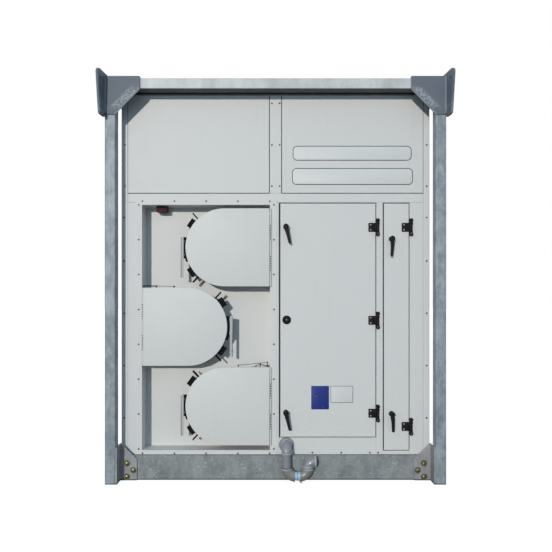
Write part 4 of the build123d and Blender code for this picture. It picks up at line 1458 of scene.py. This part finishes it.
@dataclass
class CoverStays:
    """Wire stays that lie along the top rims of two tray covers, with their clips and eyelets; the middle stay's
    thick dark first length is painted shade for the gap above the tray.
    """

    finishes: Finishes
    y: float = FACE - 0.0115

    def clip(self, shape: Shape, x: float, low: float, high: float) -> None:
        """A small clip from the tray's rim up to the wire."""
        shape.block((x - 0.0022, self.y - 0.0022, low), (x + 0.0022, self.y + 0.0022, high), 0.0006)

    def eyelet(self, shape: Shape, x: float, z: float, radius: float) -> None:
        """A round eyelet with a domed face."""
        shape.lathe(
            (x, self.y + 0.003, z), (0, -1, 0),
            [(0.0, radius * 0.8), (0.001, radius), (0.0045, radius), (0.006, radius * 0.6)], 16,
        )

    def wire(self, shape: Shape, points: Sequence[tuple[float, float]], radius: float) -> None:
        """A wire through points on the wall plane."""
        shape.tube([(x, self.y, z) for x, z in points], radius, 8)

    def build(self) -> None:
        """Makes the stays of the middle and the lower cover."""
        middle = Shape()
        # Painted shade: this thick dark length stands in for the shade in the gap above the middle tray.
        self.wire(middle, [(-0.760, 1.1066), (-0.720, 1.1062), (-0.677, 1.1060)], 0.0030)
        self.wire(middle, [(-0.677, 1.1060), (-0.630, 1.1050), (-0.579, 1.1035)], 0.0012)
        for x, high in ((-0.752, 1.108), (-0.682, 1.108), (-0.581, 1.105)):
            self.clip(middle, x, 1.0945, high)
        self.eyelet(middle, -0.758, 1.1066, 0.0042)
        self.eyelet(middle, -0.677, 1.1060, 0.0040)
        self.eyelet(middle, -0.579, 1.1035, 0.0052)
        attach(middle.done("cover_middle_stay", self.finishes.black), "cover_middle")
        lower = Shape()
        self.wire(lower, [(-0.213, 0.6530), (-0.130, 0.6610), (-0.087, 0.6655), (-0.046, 0.6700)], 0.0014)
        self.wire(lower, [(-0.112, 0.6520), (-0.087, 0.6590), (-0.060, 0.6530), (-0.038, 0.6480)], 0.0016)
        for x, high in ((-0.213, 0.654), (-0.112, 0.653), (-0.087, 0.666), (-0.046, 0.671), (-0.039, 0.649)):
            self.clip(lower, x, 0.6410, high)
        for x, z, radius in ((-0.213, 0.653, 0.0040), (-0.087, 0.660, 0.0048), (-0.046, 0.670, 0.0036), (-0.038, 0.648, 0.0036)):
            self.eyelet(lower, x, z, radius)
        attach(lower.done("cover_lower_stay", self.finishes.black), "cover_lower")
        LOG.info("cover stays")


@dataclass
class TrapDetails:
    """Collar rims and solvent joints of the condensate trap."""

    finishes: Finishes
    y: float = FACE - 0.053

    def build(self) -> None:
        """Makes the raised rims on the sockets."""
        light, joints = Shape(), Shape()
        rim = [(0.0, 0.0285), (0.0, 0.0305), (0.001, 0.0314), (0.008, 0.0314), (0.009, 0.0305), (0.009, 0.0285)]
        for origin, way in (
            ((0.063, self.y, 0.157), (0, 0, 1)),
            ((0.184, self.y, 0.0825), (0, 0, 1)),
            ((0.2295, self.y, 0.1135), (-1, 0, 0)),
            ((0.063, self.y, 0.0785), (0, 0, -1)),
            ((0.184, self.y, 0.0785), (0, 0, -1)),
        ):
            light.ring(origin, way, rim)
        light.ring(
            (0.063, FACE, 0.196), (0, -1, 0), [(0.006, 0.0290), (0.006, 0.0325), (0.009, 0.0310), (0.010, 0.0290)]
        )
        light.tube(
            [(0.1285, FACE - 0.0700, 0.0180), (0.1360, FACE - 0.0780, 0.0115), (0.1450, FACE - 0.0880, 0.0052)], 0.0036, 12
        )
        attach(light.done("fitting_collars", self.finishes.collar), "unit")
        low = Shape()
        low.ring((0.1075, self.y, 0.033), (-1, 0, 0), rim)
        low.ring((0.1395, self.y, 0.033), (1, 0, 0), rim)
        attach(low.done("lower_elbow_rims", self.finishes.beige), "unit")
        gap = [(0.0, 0.0236), (0.0, 0.0262), (0.0015, 0.0252), (0.002, 0.0236)]
        joints.ring((0.063, self.y, 0.1565), (0, 0, -1), gap)
        joints.ring((0.063, self.y, 0.0785), (0, 0, 1), gap)
        joints.ring(
            (0.1235, self.y, 0.033), (1, 0, 0), [(-0.0012, 0.0235), (-0.0006, 0.0246), (0.0006, 0.0246), (0.0012, 0.0235)]
        )
        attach(joints.done("solvent_joints", self.finishes.seal), "unit")
        LOG.info("trap rims")


class Studio:
    """Camera, lamps, floor and background."""

    camera_place: Point = (0.0, -3.6, 1.026)

    def camera(self) -> None:
        """Sets the camera of the photograph."""
        data = bpy.data.cameras.new("camera")
        data.lens = 540.0 / 552.0 * 36.0
        data.sensor_width = 36.0
        data.shift_x = 0.0009
        data.shift_y = 0.0435
        data.clip_end = 200.0
        eye = bpy.data.objects.new("camera", data)
        eye.location = self.camera_place
        eye.rotation_euler = (math.pi / 2, 0.0, 0.0)
        bpy.context.scene.collection.objects.link(eye)
        bpy.context.scene.camera = eye
        bpy.context.scene.view_settings.view_transform = "Standard"

    def lamps(self) -> None:
        """A broad key lamp from the upper left and a soft sky."""
        data = bpy.data.lights.new("key", "SUN")
        data.energy = 2.06
        data.angle = math.radians(1.2)
        data.color = (0.97, 0.93, 0.86)
        key = bpy.data.objects.new("key", data)
        key.rotation_euler = Vector((0.31, 1.0, -0.24)).to_track_quat("-Z", "Y").to_euler()
        bpy.context.scene.collection.objects.link(key)
        world = bpy.data.worlds.new("studio")
        bpy.context.scene.world = world
        world.use_nodes = True
        tree = world.node_tree
        tree.nodes.clear()
        path = tree.nodes.new("ShaderNodeLightPath")
        seen = tree.nodes.new("ShaderNodeMath")
        seen.operation = "MAXIMUM"
        tree.links.new(path.outputs["Is Camera Ray"], seen.inputs[0])
        tree.links.new(path.outputs["Is Glossy Ray"], seen.inputs[1])
        wide = tree.nodes.new("ShaderNodeMath")
        wide.operation = "MAXIMUM"
        tree.links.new(seen.outputs[0], wide.inputs[0])
        tree.links.new(path.outputs["Is Transmission Ray"], wide.inputs[1])
        light = tree.nodes.new("ShaderNodeBackground")
        light.inputs["Color"].default_value = (0.522, 0.773, 1.0, 1.0)
        light.inputs["Strength"].default_value = 0.55
        white = tree.nodes.new("ShaderNodeBackground")
        white.inputs["Color"].default_value = (1.0, 1.0, 1.0, 1.0)
        white.inputs["Strength"].default_value = 1.0
        mix = tree.nodes.new("ShaderNodeMixShader")
        output = tree.nodes.new("ShaderNodeOutputWorld")
        tree.links.new(wide.outputs[0], mix.inputs["Fac"])
        tree.links.new(light.outputs[0], mix.inputs[1])
        tree.links.new(white.outputs[0], mix.inputs[2])
        tree.links.new(mix.outputs[0], output.inputs["Surface"])

    def floor(self) -> None:
        """A plain pale floor that keeps the object's shadow."""
        mesh = bpy.data.meshes.new("floor")
        reach = 60.0
        mesh.from_pydata(
            [(-reach, -reach, 0.0), (reach, -reach, 0.0), (reach, reach, 0.0), (-reach, reach, 0.0)],
            [], [(0, 1, 2, 3)],
        )
        g = Graph("studio_floor")
        material = g.finish((0.36, 0.36, 0.36), 0.8)
        tree = g.tree
        output = next(n for n in tree.nodes if n.type == "OUTPUT_MATERIAL")
        path = tree.nodes.new("ShaderNodeLightPath")
        glow = tree.nodes.new("ShaderNodeEmission")
        seen = Signal(g, path.outputs["Is Camera Ray"])
        g.feed(glow.inputs["Strength"], seen * 0.86)
        g.feed(g.shader.inputs["Base Color"], seen * 0.20 + 0.16)
        both = tree.nodes.new("ShaderNodeAddShader")
        tree.links.new(g.shader.outputs["BSDF"], both.inputs[0])
        tree.links.new(glow.outputs[0], both.inputs[1])
        tree.links.new(both.outputs[0], output.inputs["Surface"])
        publish(mesh, "studio_floor", material)


def dress_nodes(finishes: Finishes) -> None:
    """Gives every carried-over node of the frame its finish.

    Args:
        finishes: The materials.
    """
    table = {
        "post_": finishes.post, "top_beams": finishes.beam, "base_": finishes.base,
        "base_gussets": finishes.gusset,
        "corner_brackets": finishes.bracket, "lifting_ears": finishes.bracket,
        "spigots": finishes.zinc, "rear_intake_louvre": finishes.zinc,
        "cover_hinge_leaves": finishes.bay, "clamp_grips": finishes.lever,
        "clamp_rings": finishes.clamp, "door_hinge_lugs": finishes.black,
        "large_door_hinge_leaves": finishes.black, "narrow_door_hinge_leaves": finishes.black,
        "large_door_lock": finishes.black, "red_box": finishes.red,
        "trap_pipes": finishes.pipe, "trap_upper_elbows": finishes.elbow,
        "trap_lower_elbows": finishes.beige, "trap_union": finishes.blue_pipe,
        "bay_back": finishes.bay, "cover_": finishes.bay,
    }
    for name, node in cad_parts.items():
        finish = table.get(name)
        if finish is None:
            finish = next((m for key, m in table.items() if name.startswith(key)), None)
        if finish is None:
            finish = finishes.black if name.endswith("_handle") else finishes.house
        node.data.materials.clear()
        node.data.materials.append(finish)
    LOG.info("dressed %d nodes", len(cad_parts))


def main() -> None:
    """Builds the pieces in order."""
    logging.basicConfig(level=logging.INFO, format="%(name)s: %(message)s")
    studio = Studio()
    studio.camera()
    studio.lamps()
    studio.floor()
    finishes = Finishes()
    dress_nodes(finishes)
    knuckles = knuckle_tree()
    for name, edge_x, way, z in (
        ("cover_upper", -0.034, -1, 1.3265),
        ("cover_middle", -0.756, 1, 0.873),
        ("cover_lower", -0.034, -1, 0.4195),
    ):
        TrayCover(finishes, knuckles, name, edge_x, way, z).build()
    for name, body, centre, tilt, crank in (
        ("large_door_upper_handle", "large_door", (0.0596, 1.445), 13.0, 0.0),
        ("large_door_lower_handle", "large_door", (0.0596, 0.381), 13.0, 0.0),
        ("narrow_door_upper_handle", "narrow_door", (0.665, 1.376), -5.0, 0.004),
        ("narrow_door_lower_handle", "narrow_door", (0.665, 0.374), 0.0, 0.004),
    ):
        SwingHandle(finishes, name, body, centre, tilt, crank=crank).build()
    lobes, bright = Shape(), Shape()
    for name, pivot_x, levels in (
        ("large_door", 0.5844, (0.3765, 0.90975, 1.443)),
        ("narrow_door", 0.7754, (0.3005, 1.443)),
    ):
        hinges = DoorHinges(finishes, name, pivot_x, levels)
        hinges.leaves()
        hinges.lobes(lobes, bright)
    piece = lobes.done("hinge_lobes", finishes.black, 35.0)
    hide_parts("door_hinge_lugs")
    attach(piece, "unit")
    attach(bright.done("lobe_screws", finishes.screw), "unit")
    RoundLock(finishes).build()
    screws = Fasteners(finishes)
    screws.bezel()
    screws.wall()
    screws.louvre()
    screws.gussets()
    screws.hinges()
    BlankPlates(finishes).build()
    Seams(finishes).build()
    Welds(finishes).build()
    ClampDetails(finishes).build()
    CoverStays(finishes).build()
    TrapDetails(finishes).build()


if __name__ == "__main__":
    main()
